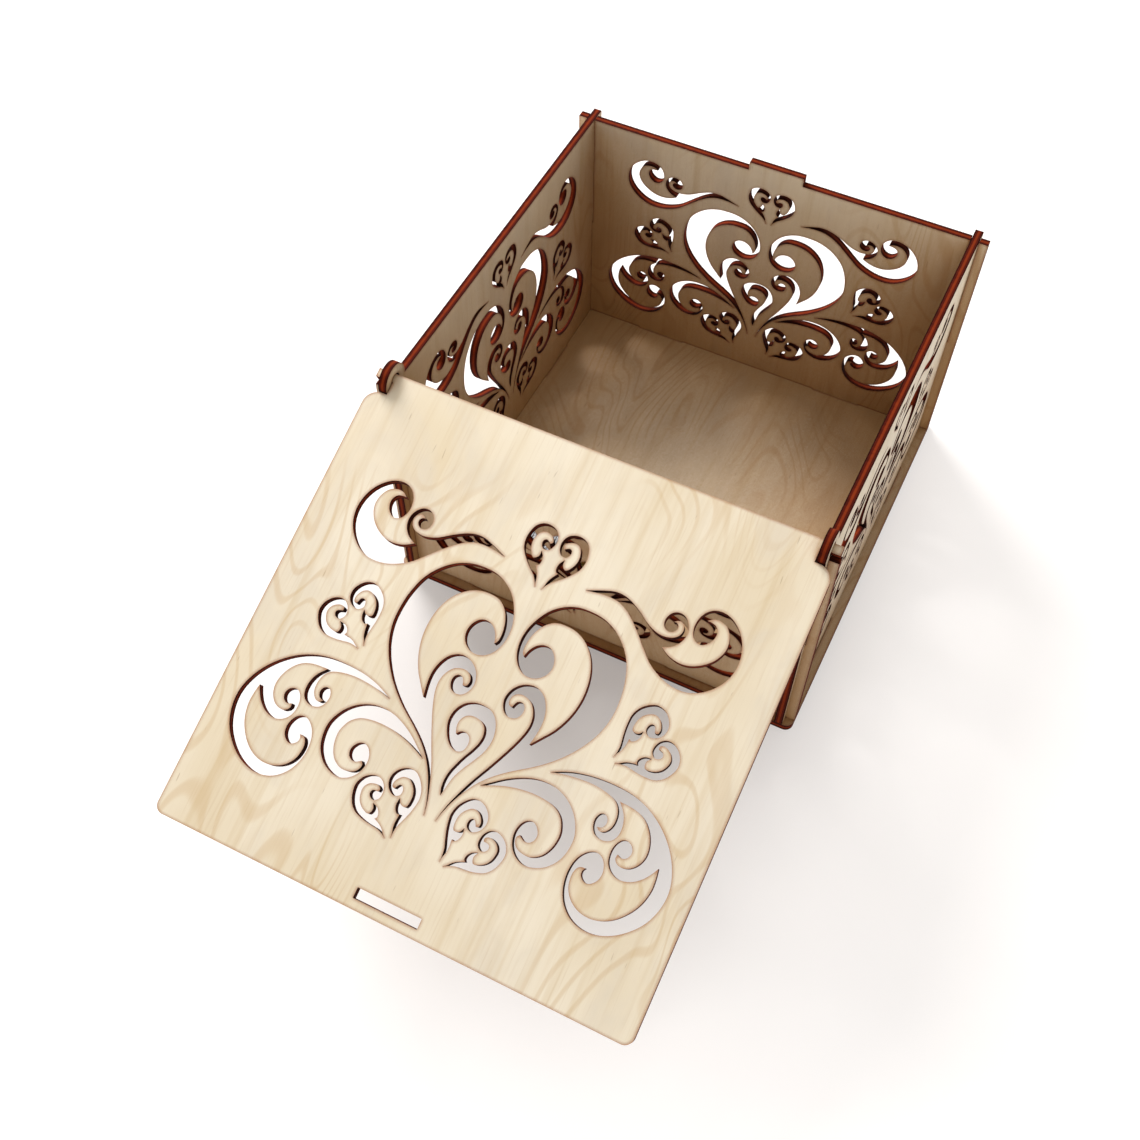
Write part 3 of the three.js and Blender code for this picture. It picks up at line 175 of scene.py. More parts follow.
# --------------------------------------------------------------------------------------------- materials
class Graph:
    """A node tree, with short calls for the nodes that the looks use."""

    def __init__(self, owner):
        owner.use_nodes = True
        self.tree = owner.node_tree
        self.tree.nodes.clear()

    def node(self, kind, **settings):
        made = self.tree.nodes.new(kind)
        for key, value in settings.items():
            setattr(made, key, value)
        return made

    def link(self, source, target):
        self.tree.links.new(source, target)

    def feed(self, socket, value):
        if isinstance(value, bpy.types.NodeSocket):
            self.link(value, socket)
        else:
            socket.default_value = value

    def math(self, operation, a, b=0.0):
        made = self.node("ShaderNodeMath", operation=operation)
        self.feed(made.inputs[0], a)
        self.feed(made.inputs[1], b)
        return made.outputs[0]

    def ramp(self, value, low, high):
        """0 at low, 1 at high, smooth in between."""
        made = self.node("ShaderNodeMapRange", interpolation_type="SMOOTHSTEP")
        self.feed(made.inputs["Value"], value)
        made.inputs["From Min"].default_value = low
        made.inputs["From Max"].default_value = high
        return made.outputs[0]

    def mix(self, factor, a, b, blend="MIX"):
        made = self.node("ShaderNodeMix", data_type="RGBA", blend_type=blend)
        self.feed(made.inputs[0], factor)
        self.feed(made.inputs[6], a)
        self.feed(made.inputs[7], b)
        return made.outputs[2]

    def stain(self, colour, where, share, tint):
        """The colour, with up to the given share of the tint over it."""
        return self.mix(self.math("MULTIPLY", where, share), colour, tint)

    def scaled(self, vector, scale):
        made = self.node("ShaderNodeVectorMath", operation="MULTIPLY")
        self.link(vector, made.inputs[0])
        made.inputs[1].default_value = scale
        return made.outputs[0]

    def noise(self, place, scale, detail=2.0, roughness=0.5, distortion=0.0):
        """Noise with the given number of cycles per metre along each axis."""
        made = self.node("ShaderNodeTexNoise")
        self.link(self.scaled(place, scale), made.inputs["Vector"])
        made.inputs["Scale"].default_value = 1.0
        made.inputs["Detail"].default_value = detail
        made.inputs["Roughness"].default_value = roughness
        made.inputs["Distortion"].default_value = distortion
        return made.outputs["Fac"]

    def openness(self, distance, samples, **settings):
        """1 where nothing stands within the distance, and less beside or inside something."""
        made = self.node("ShaderNodeAmbientOcclusion", samples=samples, **settings)
        made.inputs["Distance"].default_value = distance
        return made.outputs["AO"]

    def axes(self, vector):
        made = self.node("ShaderNodeSeparateXYZ")
        self.link(vector, made.inputs[0])
        return made.outputs


class Finish(Graph):
    """A material with one principled shader."""

    def __init__(self, name):
        self.material = bpy.data.materials.new(name)
        super().__init__(self.material)
        self.shader = self.node("ShaderNodeBsdfPrincipled")
        self.surface = self.node("ShaderNodeOutputMaterial").inputs["Surface"]
        self.link(self.shader.outputs[0], self.surface)

    def rough(self, texture, amount, least):
        """Roughness that rises from the least by up to amount with the texture."""
        self.link(self.math("ADD", self.math("MULTIPLY", texture, amount), least), self.shader.inputs["Roughness"])

    def bump(self, height, strength, distance):
        made = self.node("ShaderNodeBump")
        self.link(height, made.inputs["Height"])
        made.inputs["Strength"].default_value = strength
        made.inputs["Distance"].default_value = distance
        self.link(made.outputs[0], self.shader.inputs["Normal"])


def rgb(red, green, blue):
    """Display colour, 0 to 255, as the linear colour that a socket takes."""
    def linear(value):
        value /= 255
        return value / 12.92 if value <= 0.04045 else ((value + 0.055) / 1.055) ** 2.4
    return (linear(red), linear(green), linear(blue), 1.0)


BIRCH = {
    "pale": rgb(227, 214, 191), "warm": rgb(216, 199, 169), "blotch": rgb(209, 196, 176),
    "ring": rgb(190, 154, 102), "streak": rgb(196, 168, 122), "fibre": rgb(180, 146, 98),
    "dash": rgb(132, 94, 54), "scorch": rgb(150, 86, 40), "painted_interior_shade": rgb(188, 155, 114),
}
CHAR = {
    "outer": rgb(84, 22, 8), "outer_dark": rgb(60, 15, 6), "core": rgb(134, 50, 17), "core_dark": rgb(102, 34, 12),
    "rim": rgb(34, 8, 4), "soot": rgb(60, 16, 7), "crevice_shade": rgb(36, 12, 6),
}
RINGS = 125.0  # how many radians of ring the figure's height spans
# how far the scorch, the painted interior shade and the painted shade in narrow cuts reach, in metres
SCORCH_REACH, INTERIOR_SHADE_REACH, CREVICE_SHADE_REACH = 0.0011, 0.11, 0.004


def birch():
    """Rotary-cut birch veneer: pale, with loose contour figure, fine fibres along v, a scorched rim, and painted
    shade where the box encloses it.
    """
    g = Finish("birch_ply")
    flat = g.node("ShaderNodeUVMap", uv_map="flat").outputs[0]
    warp = g.noise(flat, (22, 14, 1), detail=3.0, roughness=0.55)
    height = g.noise(flat, (24, 9, 1), detail=1.2, roughness=0.4, distortion=0.7)
    rings = g.math("SINE", g.math("MULTIPLY", height, RINGS))
    patch = g.ramp(g.noise(flat, (15, 9, 1), detail=1.0), 0.44, 0.60)
    figure = g.math("MULTIPLY", g.ramp(rings, 0.45, 1.0), patch)
    blotch = g.noise(flat, (34, 17, 1), detail=4.0, roughness=0.62, distortion=0.5)
    streak = g.noise(flat, (210, 7, 1), detail=3.0, roughness=0.6)
    fibre = g.noise(flat, (1500, 40, 1), detail=3.0, roughness=0.6)
    dash = g.noise(flat, (1000, 120, 1), detail=1.0)

    colour = g.mix(g.ramp(warp, 0.3, 0.75), BIRCH["pale"], BIRCH["warm"])
    colour = g.stain(colour, g.ramp(blotch, 0.46, 0.66), 0.55, BIRCH["blotch"])
    colour = g.stain(colour, figure, 0.32, BIRCH["ring"])
    colour = g.stain(colour, g.ramp(streak, 0.45, 0.8), 0.46, BIRCH["streak"])
    colour = g.stain(colour, g.ramp(fibre, 0.5, 0.8), 0.22, BIRCH["fibre"])
    colour = g.stain(colour, g.ramp(dash, 0.74, 0.80), 0.35, BIRCH["dash"])
    rim = g.openness(SCORCH_REACH, 4, inside=True, only_local=True)
    colour = g.stain(colour, g.ramp(rim, 0.93, 0.52), 0.75, BIRCH["scorch"])
    # Painted shade: the wood is darkened and browned where much stands within reach, as inside the box.
    painted_interior_shade = g.ramp(g.openness(INTERIOR_SHADE_REACH, 6), 0.94, 0.36)
    colour = g.mix(painted_interior_shade, colour, BIRCH["painted_interior_shade"], blend="MULTIPLY")
    g.link(colour, g.shader.inputs["Base Color"])
    g.rough(fibre, 0.18, 0.48)
    g.shader.inputs["Specular IOR Level"].default_value = 0.35
    g.bump(g.math("ADD", g.math("MULTIPLY", fibre, 0.6), g.math("MULTIPLY", streak, 0.4)), 0.25, 0.00012)
    return g.material


def charred():
    """Laser-cut edge of three-layer ply: near-black rims, dark red outer layers, a red-brown core, and painted
    shade where other surfaces stand close.
    """
    g = Finish("charred_edge")
    flat = g.node("ShaderNodeUVMap", uv_map="flat").outputs[0]
    across = g.axes(g.node("ShaderNodeUVMap", uv_map="edge").outputs[0])[1]
    striation = g.noise(flat, (2600, 2600, 1), detail=2.0, roughness=0.6)
    soot = g.noise(flat, (260, 260, 1), detail=3.0, roughness=0.6)
    wander = g.math("MULTIPLY", g.math("SUBTRACT", soot, 0.5), 0.10)
    off_middle = g.math("ABSOLUTE", g.math("SUBTRACT", g.math("ADD", across, wander), 0.5))

    colour = g.mix(g.ramp(soot, 0.3, 0.75), CHAR["outer"], CHAR["outer_dark"])
    colour = g.stain(colour, g.ramp(off_middle, 0.20, 0.08), 0.95, g.mix(soot, CHAR["core"], CHAR["core_dark"]))
    colour = g.stain(colour, g.ramp(off_middle, 0.30, 0.42), 0.92, CHAR["rim"])
    colour = g.stain(colour, g.ramp(striation, 0.5, 0.8), 0.3, CHAR["soot"])
    # Painted shade: the cut edge darkened nearly to black where other surfaces stand within reach, in narrow
    # openings and joints.
    colour = g.stain(colour, g.ramp(g.openness(CREVICE_SHADE_REACH, 4), 0.75, 0.45), 0.8, CHAR["crevice_shade"])
    g.link(colour, g.shader.inputs["Base Color"])
    g.rough(striation, 0.2, 0.75)
    g.shader.inputs["Specular IOR Level"].default_value = 0.05
    g.bump(striation, 0.4, 0.00015)
    return g.material


def metal(name, light, dark, roughness):
    """Metal with turned or brushed marks, faint tarnish and uneven gloss."""
    g = Finish(name)
    place = g.node("ShaderNodeTexCoord").outputs["Object"]
    tarnish = g.noise(place, (240, 240, 240), detail=4.0, roughness=0.6)
    marks = g.noise(place, (6000, 900, 900), detail=2.0)
    g.link(g.mix(g.ramp(tarnish, 0.35, 0.75), light, dark), g.shader.inputs["Base Color"])
    g.shader.inputs["Metallic"].default_value = 1.0
    wear = g.math("ADD", g.math("MULTIPLY", tarnish, 0.6), g.math("MULTIPLY", marks, 0.4))
    g.rough(wear, 0.35, roughness - 0.12)
    g.bump(marks, 0.3, 0.00005)
    return g.material


LOOKS = {
    "plywood": [birch(), charred()],
    "brass": [metal("brass_metal", rgb(220, 186, 108), rgb(196, 156, 80), 0.32)],
    "steel": [metal("steel_metal", rgb(202, 203, 206), rgb(174, 175, 179), 0.3)],
    "blued_steel": [metal("blued_metal", rgb(60, 68, 92), rgb(34, 38, 54), 0.34)],
    "zinc": [metal("zinc_metal", rgb(172, 174, 176), rgb(150, 152, 155), 0.48)],
}


# ------------------------------------------------------------------------------------------ flat drawing
def smooth(points, per_span=4):
    """Points along a smooth curve through the given ones, without the first of them."""
    made = []
    last = len(points) - 1
    for i in range(last):
        p0, p1 = points[max(i - 1, 0)], points[i]
        p2, p3 = points[i + 1], points[min(i + 2, last)]
        for k in range(1, per_span + 1):
            t = k / per_span
            made.append(tuple(
                (2 * b - 2 * c + (c - a) / 2 + (d - b) / 2) * t ** 3
                + (-3 * b + 3 * c - (c - a) - (d - b) / 2) * t ** 2
                + (c - a) / 2 * t + b
                for a, b, c, d in zip(p0, p1, p2, p3)))
    return made


def scroll(runs):
    """Closed outline of smooth runs that meet in corners."""
    made = []
    last = None
    for run in runs:
        knots = run if last is None else [last] + run
        made += smooth(knots)
        last = knots[-1]
    return made


def placed_heart(place):
    tip, across, up = place["tip"], place["across"], place["up"]
    return [[(tip[0] + x * across[0] + y * up[0], tip[1] + x * across[1] + y * up[1]) for x, y in run]
            for run in HALF_HEART]


def filigree(scale_x, scale_y, rise, side):
    """Every opening of one panel, in the panel's own millimetres."""
    loops = []
    paired = [TOP_SWIRL, HEART_LOBE, OUTER_SCROLL, INNER_SCROLL] + [placed_heart(p) for p in HALF_HEART_PLACES]
    for runs, signs in [(MIDDLE_SCROLL, (side,))] + [(runs, (1, -1)) for runs in paired]:
        for sign in signs:
            moved = [[(sign * x * scale_x, y * scale_y + rise) for x, y in run] for run in runs]
            loops.append(scroll(moved))
    return loops


def arc(x, y, r, start, end, steps):
    angles = [start + (end - start) * i / steps for i in range(steps + 1)]
    return [(x + r * math.cos(angle), y + r * math.sin(angle)) for angle in angles]


def circle(x, y, r, steps=48):
    return arc(x, y, r, 0, 2 * math.pi, steps)[:-1]


def rectangle(x, y, half_x, half_y):
    return [(x - half_x, y - half_y), (x + half_x, y - half_y), (x + half_x, y + half_y), (x - half_x, y + half_y)]


def bend(edge):
    """Angle between the two faces that meet at an edge."""
    return edge.link_faces[0].normal.angle(edge.link_faces[1].normal, 0)


def flat_mesh(name, loops, thickness, place, grain=(0.0, (0.0, 0.0))):
    """Plate of the given thickness from an outline and its holes, in mm, moved by the matrix place.

    Two UV maps go with it: flat holds the drawing in metres, turned and shifted by grain, and edge holds how
    far through the thickness a point is. The cut faces get the second material."""
    data = bpy.data.curves.new(name, "CURVE")
    data.dimensions = "2D"
    data.fill_mode = "BOTH"
    data.extrude = thickness / 2
    for loop in loops:
        spline = data.splines.new("POLY")
        spline.points.add(len(loop) - 1)
        for point, (x, y) in zip(spline.points, loop):
            point.co = (x, y, 0, 1)
        spline.use_cyclic_u = True
    curve = bpy.data.objects.new(name + "_curve", data)
    bpy.context.scene.collection.objects.link(curve)
    mesh = bpy.data.meshes.new_from_object(curve.evaluated_get(bpy.context.evaluated_depsgraph_get()))
    bpy.data.objects.remove(curve)
    bpy.data.curves.remove(data)
    mesh.name = name

    bm = bmesh.new()
    bm.from_mesh(mesh)
    bmesh.ops.remove_doubles(bm, verts=bm.verts, dist=MERGE_MM)
    bmesh.ops.recalc_face_normals(bm, faces=bm.faces)
    flat_uv = bm.loops.layers.uv.new("flat")
    edge_uv = bm.loops.layers.uv.new("edge")
    turn, shift = grain
    for face in bm.faces:
        face.material_index = 0 if abs(face.normal.z) > 0.5 else 1
        face.smooth = face.material_index == 1
        for corner in face.loops:
            x, y, z = corner.vert.co
            u = x * math.cos(turn) - y * math.sin(turn)
            v = x * math.sin(turn) + y * math.cos(turn)
            corner[flat_uv].uv = (u * MM + shift[0], v * MM + shift[1])
            corner[edge_uv].uv = (0.0, z / thickness + 0.5)
    for edge in bm.edges:
        if len(edge.link_faces) == 2:
            a, b = edge.link_faces
            edge.smooth = a.material_index == b.material_index and bend(edge) < CUT_SHARP
    bm.transform(Matrix.Scale(MM, 4) @ place @ Matrix.Translation((0, 0, thickness / 2)))
    bmesh.ops.recalc_face_normals(bm, faces=bm.faces)
    bm.to_mesh(mesh)
    bm.free()
    return mesh


def piece(name, mesh, node):
    """Puts the mesh in the scene in place of a CAD node, on its body and in its finish."""
    made = bpy.data.objects.new(name, mesh)
    bpy.context.scene.collection.objects.link(made)
    body, slot = NODE_BODY[node], SLOT_OF[node]
    for look in LOOKS[slot]:
        mesh.materials.append(look)
    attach(made, body)
    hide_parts(node)


# -------------------------------------------------------------------------------------- plywood panels
# How far each panel's veneer is turned, and where on one large sheet it is cut, in metres.
GRAIN = {
    "floor_panel": (0.0, (0.31, 0.12)), "front_panel": (0.0, (0.83, 0.4)), "back_panel": (0.02, (1.27, 0.77)),
    "right_panel": (-0.03, (1.9, 1.3)), "left_panel": (0.03, (2.4, 1.6)), "lid_panel": (0.0, (0.1, 2.2)),
}
WALL_FILIGREE = {"scale_x": 0.9, "scale_y": 0.79, "rise": -5}
LID_FILIGREE = {"scale_x": 1, "scale_y": 1, "rise": 0, "side": -1}


def frame_of(origin, u, v, w):
    """Matrix that puts local x, y and z along u, v and w, from the origin, all in mm."""
    made = Matrix((u, v, w)).transposed().to_4x4()
    made.translation = origin
    return made


def bottom_edge(start, end):
    low = PLY - TAB_DEPTH + GAP
    high = PLY + GAP
    points = [(start, high)]
    for middle in (-TAB_OFFSET, TAB_OFFSET):
        a, b = middle - TAB_HALF, middle + TAB_HALF
        points += [(a, high), (a, low), (b, low), (b, high)]
    return points + [(end, high)]


def cross_wall_outline(top, tab):
    lap0, lap1 = INNER - GAP, OUTER + GAP
    right = [(HALF, top), (lap1, top), (lap1, LAP_Z), (lap0, LAP_Z), (lap0, top)]
    if tab:
        right += [(LID_TAB_HALF, top), (LID_TAB_HALF, top + LID_TAB_HEIGHT)]
    left = [(-x, z) for x, z in reversed(right)]
    return bottom_edge(-HALF, HALF) + right + left


def side_wall_outline():
    lap0, lap1 = INNER - GAP, OUTER + GAP
    low, lap_top = PLY + GAP, LAP_Z + 2 * GAP
    points = [(-HALF, low), (-lap1, low), (-lap1, lap_top), (-lap0, lap_top)]
    points += bottom_edge(-lap0, lap0)
    points += [(lap0, lap_top), (lap1, lap_top), (lap1, low), (HALF, low)]
    points.append((HALF, HINGE_Z - EAR_R * math.sin(EAR_RELIEF)))
    foot = math.asin((HINGE_Z - WALL_TOP) / EAR_R)
    points += arc(HINGE_Y, HINGE_Z, EAR_R, -EAR_RELIEF, math.pi + foot, 40)
    return points + [(-HALF, WALL_TOP)]


def lid_outline():
    shoulder = LID_LENGTH - LID_NOTCH
    half = arc(LID_HALF - CORNER_R, CORNER_R, CORNER_R, -math.pi / 2, 0, 10)
    half += arc(LID_HALF - LID_SHOULDER, shoulder - LID_SHOULDER, LID_SHOULDER, 0, math.pi / 2, 14)
    half += [(LID_NOTCH_X, shoulder), (LID_NOTCH_X, LID_LENGTH - PLY), (LID_PEG, LID_LENGTH - PLY),
             (LID_PEG, LID_LENGTH)]
    return half + [(-x, y) for x, y in reversed(half)]


def base_outline():
    near = HALF - CORNER_R
    points = []
    for x, y, start in ((near, -near, -0.5), (near, near, 0), (-near, near, 0.5), (-near, -near, 1)):
        points += arc(x, y, CORNER_R, start * math.pi, (start + 0.5) * math.pi, 10)
    return points


def make_panel(name, node, loops, place):
    piece(name, flat_mesh(name, loops, PLY, place, GRAIN[name]), node)


def make_panels():
    x_axis, y_axis, z_axis = Vector((1, 0, 0)), Vector((0, 1, 0)), Vector((0, 0, 1))
    middle = (OUTER + INNER) / 2
    holes = []
    for side in (-1, 1):
        for offset in (-TAB_OFFSET, TAB_OFFSET):
            holes.append(rectangle(offset, side * middle, TAB_HALF + GAP, PLY / 2 + GAP))
            holes.append(rectangle(side * middle, offset, PLY / 2 + GAP, TAB_HALF + GAP))
    holes += [circle(x, y, BED_SCREW_HOLE, 20) for x, y in BED_SCREWS]
    make_panel("floor_panel", "base_plate", [base_outline()] + holes, Matrix.Identity(4))

    for name, node, y, outline, side in (
        ("front_panel", "front_wall", -OUTER, cross_wall_outline(WALL_TOP, True), -1),
        ("back_panel", "back_wall", INNER, cross_wall_outline(BACK_TOP, False), 1),
    ):
        place = frame_of(Vector((0, y, 0)), x_axis, z_axis, y_axis)
        make_panel(name, node, [outline] + filigree(side=side, **WALL_FILIGREE), place)

    ear = circle(HINGE_Y, HINGE_Z, EAR_HOLE, 40)
    for name, node, x, side, extra in (
        ("right_panel", "right_wall", INNER, -1, [circle(AXIS_Y, AXIS_Z, KEY_HOLE, 40)]),
        ("left_panel", "left_wall", -OUTER, 1, []),
    ):
        place = frame_of(Vector((x, 0, 0)), y_axis, z_axis, x_axis)
        loops = [side_wall_outline(), ear] + extra + filigree(side=side, **WALL_FILIGREE)
        make_panel(name, node, loops, place)

    near, far, half = LID_SLOT
    slot = rectangle(0, (near + far) / 2, half, (far - near) / 2)
    place = Matrix.Translation((0, HINGE_Y, HINGE_Z)) @ Matrix.Rotation(-LID_OPEN, 4, "X")
    place = place @ Matrix.Translation((0, PLY / 2 - LID_LENGTH, -PLY / 2))
    make_panel("lid_panel", "lid", [lid_outline(), slot] + filigree(**LID_FILIGREE), place)


# ------------------------------------------------------------------------------------------ metal parts
SIDES, FINE_SIDES, KEY_SIDES, ARBOR_SIDES, PIN_SIDES = 56, 96, 64, 40, 8  # of turned parts
END_WALL = 1.2
BARREL_X, BARREL_END, BARREL_R, BARREL_WALL = 49.0, 64.0, 10.5, 0.9
BAND, BAND_EDGE, BAND_RISE = 2.2, 2.4, 0.25
COVER_FIT, COVER_THICKNESS, COVER_BORE = 0.15, 1.4, 0.08
RECESS, RECESS_RADII = 0.25, (7.4, 7.1, 4.2, 3.9)
DRUM_X, DRUM_END, DRUM_R, DRUM_WALL = 25.0, 48.0, 6.5, 0.8
PIN_HEIGHT, PIN_DEPTH, PIN_ROOT, PIN_TIP = 0.8, 0.2, 0.19, 0.15
COMB_X, COMB_PITCH, COMB_TEETH = 25.6, 1.2, 18
BEATS, LEAST_NOTES, MOST_NOTES = 48, 5, 9
IDLER_Y, IDLER_Z = 39.0, 20.5
CLICK_Y, CLICK_Z = 40.5, 20.5
WORM_X, WORM_Y, WORM_R, WORM_SHAFT, WORM_PITCH, WORM_TURNS = 13.1, 47.1, 1.4, 0.8, 1.571, 5
WORM_LOW, WORM_HIGH, WORM_FADE, WORM_SEGMENTS, WORM_STEPS = 6.6, 36.5, 0.6, 32, 14
FLANK, ROOT, TIP_CUT = 4.4, 0.75, (0.15, 0.2)  # the thread's flank and root, and the cut at the shaft's ends
SHAFT_R, THIN_R, IDLER_R, SHAFT_GAP = 2.0, 1.2, 1.0, 0.05
KEY_X, KEY_SOCKET, KEY_LENGTH, KEY_TILT, KEY_WEB = 77.5, 5.0, 7.5, math.radians(35), 0.2
KEY_MOUTH, KEY_GROOVE, KEY_GROOVE_DEPTH, KEY_TIP = 0.4, (1.1, 1.4, 2.0, 2.3), 0.3, 0.8
WING_R, WING_OFFSET, WING_X, WING_RIM, WING_THICKNESS, WING_ROOT, NECK = 5.4, 5.3, 11.0, 2.2, 1.8, 4.8, 1.7
SCREW_R, SCREW_POINT, HEAD_R, HEAD_HEIGHT, SLOT_HALF, SLOT_DEPTH = 1.0, (0.3, 0.4), 2.1, 1.3, 0.25, 0.65
HEAD_ROUND, WING_ROUND = 0.1, 0.45
CORNER_SHARE, CORNER_STEPS = 0.45, (0, 0.3, 0.7, 1)  # how much of a side a rounding may take, and its points
SEAT, BRACKET_SEAT, COMB_SEAT = 5.7, 7.8, 15.1
SCREWS = [  # node's stem, places, height of the head's seat, length
    ("bed_screw", BED_SCREWS, SEAT, 5.0),
    ("barrel_bracket_screw", [(70.2, 25.5), (70.2, 36.5)], BRACKET_SEAT, 4.0),
    ("cylinder_bracket_screw", [(12.4, 25.5), (12.4, 33.5)], BRACKET_SEAT, 4.0),
    ("governor_bracket_screw", [(13.1, 60.3)], BRACKET_SEAT, 4.0),
    ("comb_screw", [(30.1, 63.5), (42.7, 63.5)], COMB_SEAT, 6.5),
]
ARBORS = [  # piece, node, (radius, x) along the profile, axis
    ("turned_winding_arbor", "winding_arbor",
     [(0, 50.6), (2.7, 50.6), (2.7, 62.3), (SHAFT_R, 62.3), (SHAFT_R, 82.5), (0, 82.5)], (AXIS_Y, AXIS_Z)),
    ("turned_cylinder_arbor", "cylinder_arbor",
     [(0, 14.6), (THIN_R, 14.6), (THIN_R, 50.2), (0, 50.2)], (AXIS_Y, AXIS_Z)),
    ("turned_idler_arbor", "idler_arbor",
     [(0, 7.3), (IDLER_R, 7.3), (IDLER_R, 24.0), (0, 24.0)], (IDLER_Y, IDLER_Z)),
    ("turned_click_screw", "click_screw",
     [(0, 65.2), (1.0, 65.2), (1.0, 69.45), (1.9, 69.45), (1.9, 70.35), (0, 70.35)], (CLICK_Y, CLICK_Z)),
]
DRESSED = [  # node, and how far its arrises are broken
    ("comb", 0.08), ("comb_base", 0.3), ("bed_plate", 0.35), ("barrel_bracket", 0.2), ("cylinder_bracket", 0.2),
    ("governor_bracket", 0.2), ("idler_post", 0.15), ("cylinder_gear", 0.07), ("idler_wheel", 0.07),
    ("idler_pinion", 0.07), ("ratchet_wheel", 0.12), ("governor_fan", 0.12), ("mainspring", 0.08),
    ("click", 0.15), ("click_spring", 0.08),
]


def soften(points, reach, closed):
    """The profile with each of its corners off the axis rounded."""
    made = []
    count = len(points)
    for i, point in enumerate(points):
        here = Vector(point)
        if not closed and (i in (0, count - 1) or here.x == 0):
            made.append(here)
            continue
        back = Vector(points[i - 1]) - here
        ahead = Vector(points[(i + 1) % count]) - here
        cut = min(reach, back.length * CORNER_SHARE, ahead.length * CORNER_SHARE)
        start, end = here + back.normalized() * cut, here + ahead.normalized() * cut
        for t in CORNER_STEPS:
            made.append(start * (1 - t) ** 2 + here * 2 * t * (1 - t) + end * t ** 2)
    return made


def revolve(bm, profile, place, reach, closed=False, segments=SIDES):
    """Adds the solid swept about local z by a profile of (radius, height) points, in mm."""
    points = soften(profile, reach, closed)
    to_metres = Matrix.Scale(MM, 4) @ place
    rings = []
    for radius, height in points:
        count = 1 if radius == 0 else segments
        turns = [2 * math.pi * i / segments for i in range(count)]
        rings.append([bm.verts.new(to_metres @ Vector((radius * math.cos(a), radius * math.sin(a), height)))
                      for a in turns])
    pairs = list(zip(rings, rings[1:])) + ([(rings[-1], rings[0])] if closed else [])
    for low, high in pairs:
        for i in range(segments):
            corners = []
            for ring, k in ((low, i), (low, i + 1), (high, i + 1), (high, i)):
                vert = ring[k % len(ring)]
                if vert not in corners:
                    corners.append(vert)
            if len(corners) > 2:
                bm.faces.new(corners)


def along_x(y=AXIS_Y, z=AXIS_Z):
    """Turns local z to x, about an axis at y and z."""
    return frame_of(Vector((0, y, z)), Vector((0, 1, 0)), Vector((0, 0, 1)), Vector((1, 0, 0)))


def break_edges(bm, width):
    """Merges flat triangles and gives every sharp arris a small rounding."""
    bmesh.ops.remove_doubles(bm, verts=bm.verts, dist=MERGE)
    bmesh.ops.dissolve_limit(bm, angle_limit=COPLANAR, verts=bm.verts, edges=bm.edges)
    bm.normal_update()
    sharp = [edge for edge in bm.edges if len(edge.link_faces) == 2 and bend(edge) > SHARP]
    bmesh.ops.bevel(bm, geom=sharp, offset=width * MM, segments=2, profile=0.6, affect="EDGES",
                    clamp_overlap=True)
    bm.normal_update()


def add_plate(bm, loops, thickness, place, width):
    """Adds a flat-drawn plate with its arrises broken."""
    mesh = flat_mesh("plate", loops, thickness, place)
    part = bmesh.new()
    part.from_mesh(mesh)
    break_edges(part, width)
    part.to_mesh(mesh)
    part.free()
    bm.from_mesh(mesh)
    bpy.data.meshes.remove(mesh)


def metal_piece(name, node, bm):
    bmesh.ops.recalc_face_normals(bm, faces=bm.faces)
    for face in bm.faces:
        face.material_index = 0
        face.smooth = True
    for edge in bm.edges:
        if len(edge.link_faces) == 2:
            edge.smooth = bend(edge) < SHARP
    mesh = bpy.data.meshes.new(name)
    bm.to_mesh(mesh)
    bm.free()
    piece(name, mesh, node)


def make_screws():
    """Slotted cheese-head screws: shank and lower head turned, and the head's two halves beside the slot."""
    groove = HEAD_HEIGHT - SLOT_DEPTH
    reach = math.asin(SLOT_HALF / HEAD_R)
    for stem, places, seat, length in SCREWS:
        shank = [(0, -length), (SCREW_R - SCREW_POINT[0], -length), (SCREW_R, -length + SCREW_POINT[1]),
                 (SCREW_R, 0)]
        head = [(HEAD_R, 0), (HEAD_R, groove), (0, groove)]
        for i, (x, y) in enumerate(places):
            node = stem if len(places) == 1 else f"{stem}_{i + 1}"
            bm = bmesh.new()
            place = Matrix.Translation((x, y, seat))
            revolve(bm, shank + head, place, HEAD_ROUND)
            for side in (0, math.pi):
                half = arc(0, 0, HEAD_R, side + reach, side + math.pi - reach, 24)
                add_plate(bm, [half], SLOT_DEPTH, place @ Matrix.Translation((0, 0, groove)), HEAD_ROUND)
            metal_piece(f"{node}_slotted", node, bm)


def make_drum():
    """Music cylinder: a thin drum with fine pins, each comb tooth's notes on its own track."""
    bm = bmesh.new()
    bore, inside = THIN_R + SHAFT_GAP, DRUM_R - DRUM_WALL
    revolve(bm, [(bore, DRUM_X), (DRUM_R, DRUM_X), (DRUM_R, DRUM_END), (bore, DRUM_END),
                 (bore, DRUM_END - END_WALL), (inside, DRUM_END - END_WALL), (inside, DRUM_X + END_WALL),
                 (bore, DRUM_X + END_WALL)], along_x(), reach=0.25, closed=True, segments=FINE_SIDES)
    foot, top = DRUM_R - PIN_DEPTH, DRUM_R + PIN_HEIGHT
    pin = [(0, foot), (PIN_ROOT, foot), (PIN_TIP, top), (0, top)]
    across = Vector((1, 0, 0))
    notes = random.Random(7)
    for track in range(COMB_TEETH):
        x = COMB_X + (track + 0.5) * COMB_PITCH
        beats = sorted(notes.sample(range(BEATS), notes.randint(LEAST_NOTES, MOST_NOTES)))
        for beat in beats:
            turn = 2 * math.pi * beat / BEATS
            out = Vector((0, math.cos(turn), math.sin(turn)))
            place = frame_of(Vector((x, AXIS_Y, AXIS_Z)), across, out.cross(across), out)
            revolve(bm, pin, place, reach=0.05, segments=PIN_SIDES)
    metal_piece("pinned_cylinder", "music_cylinder", bm)


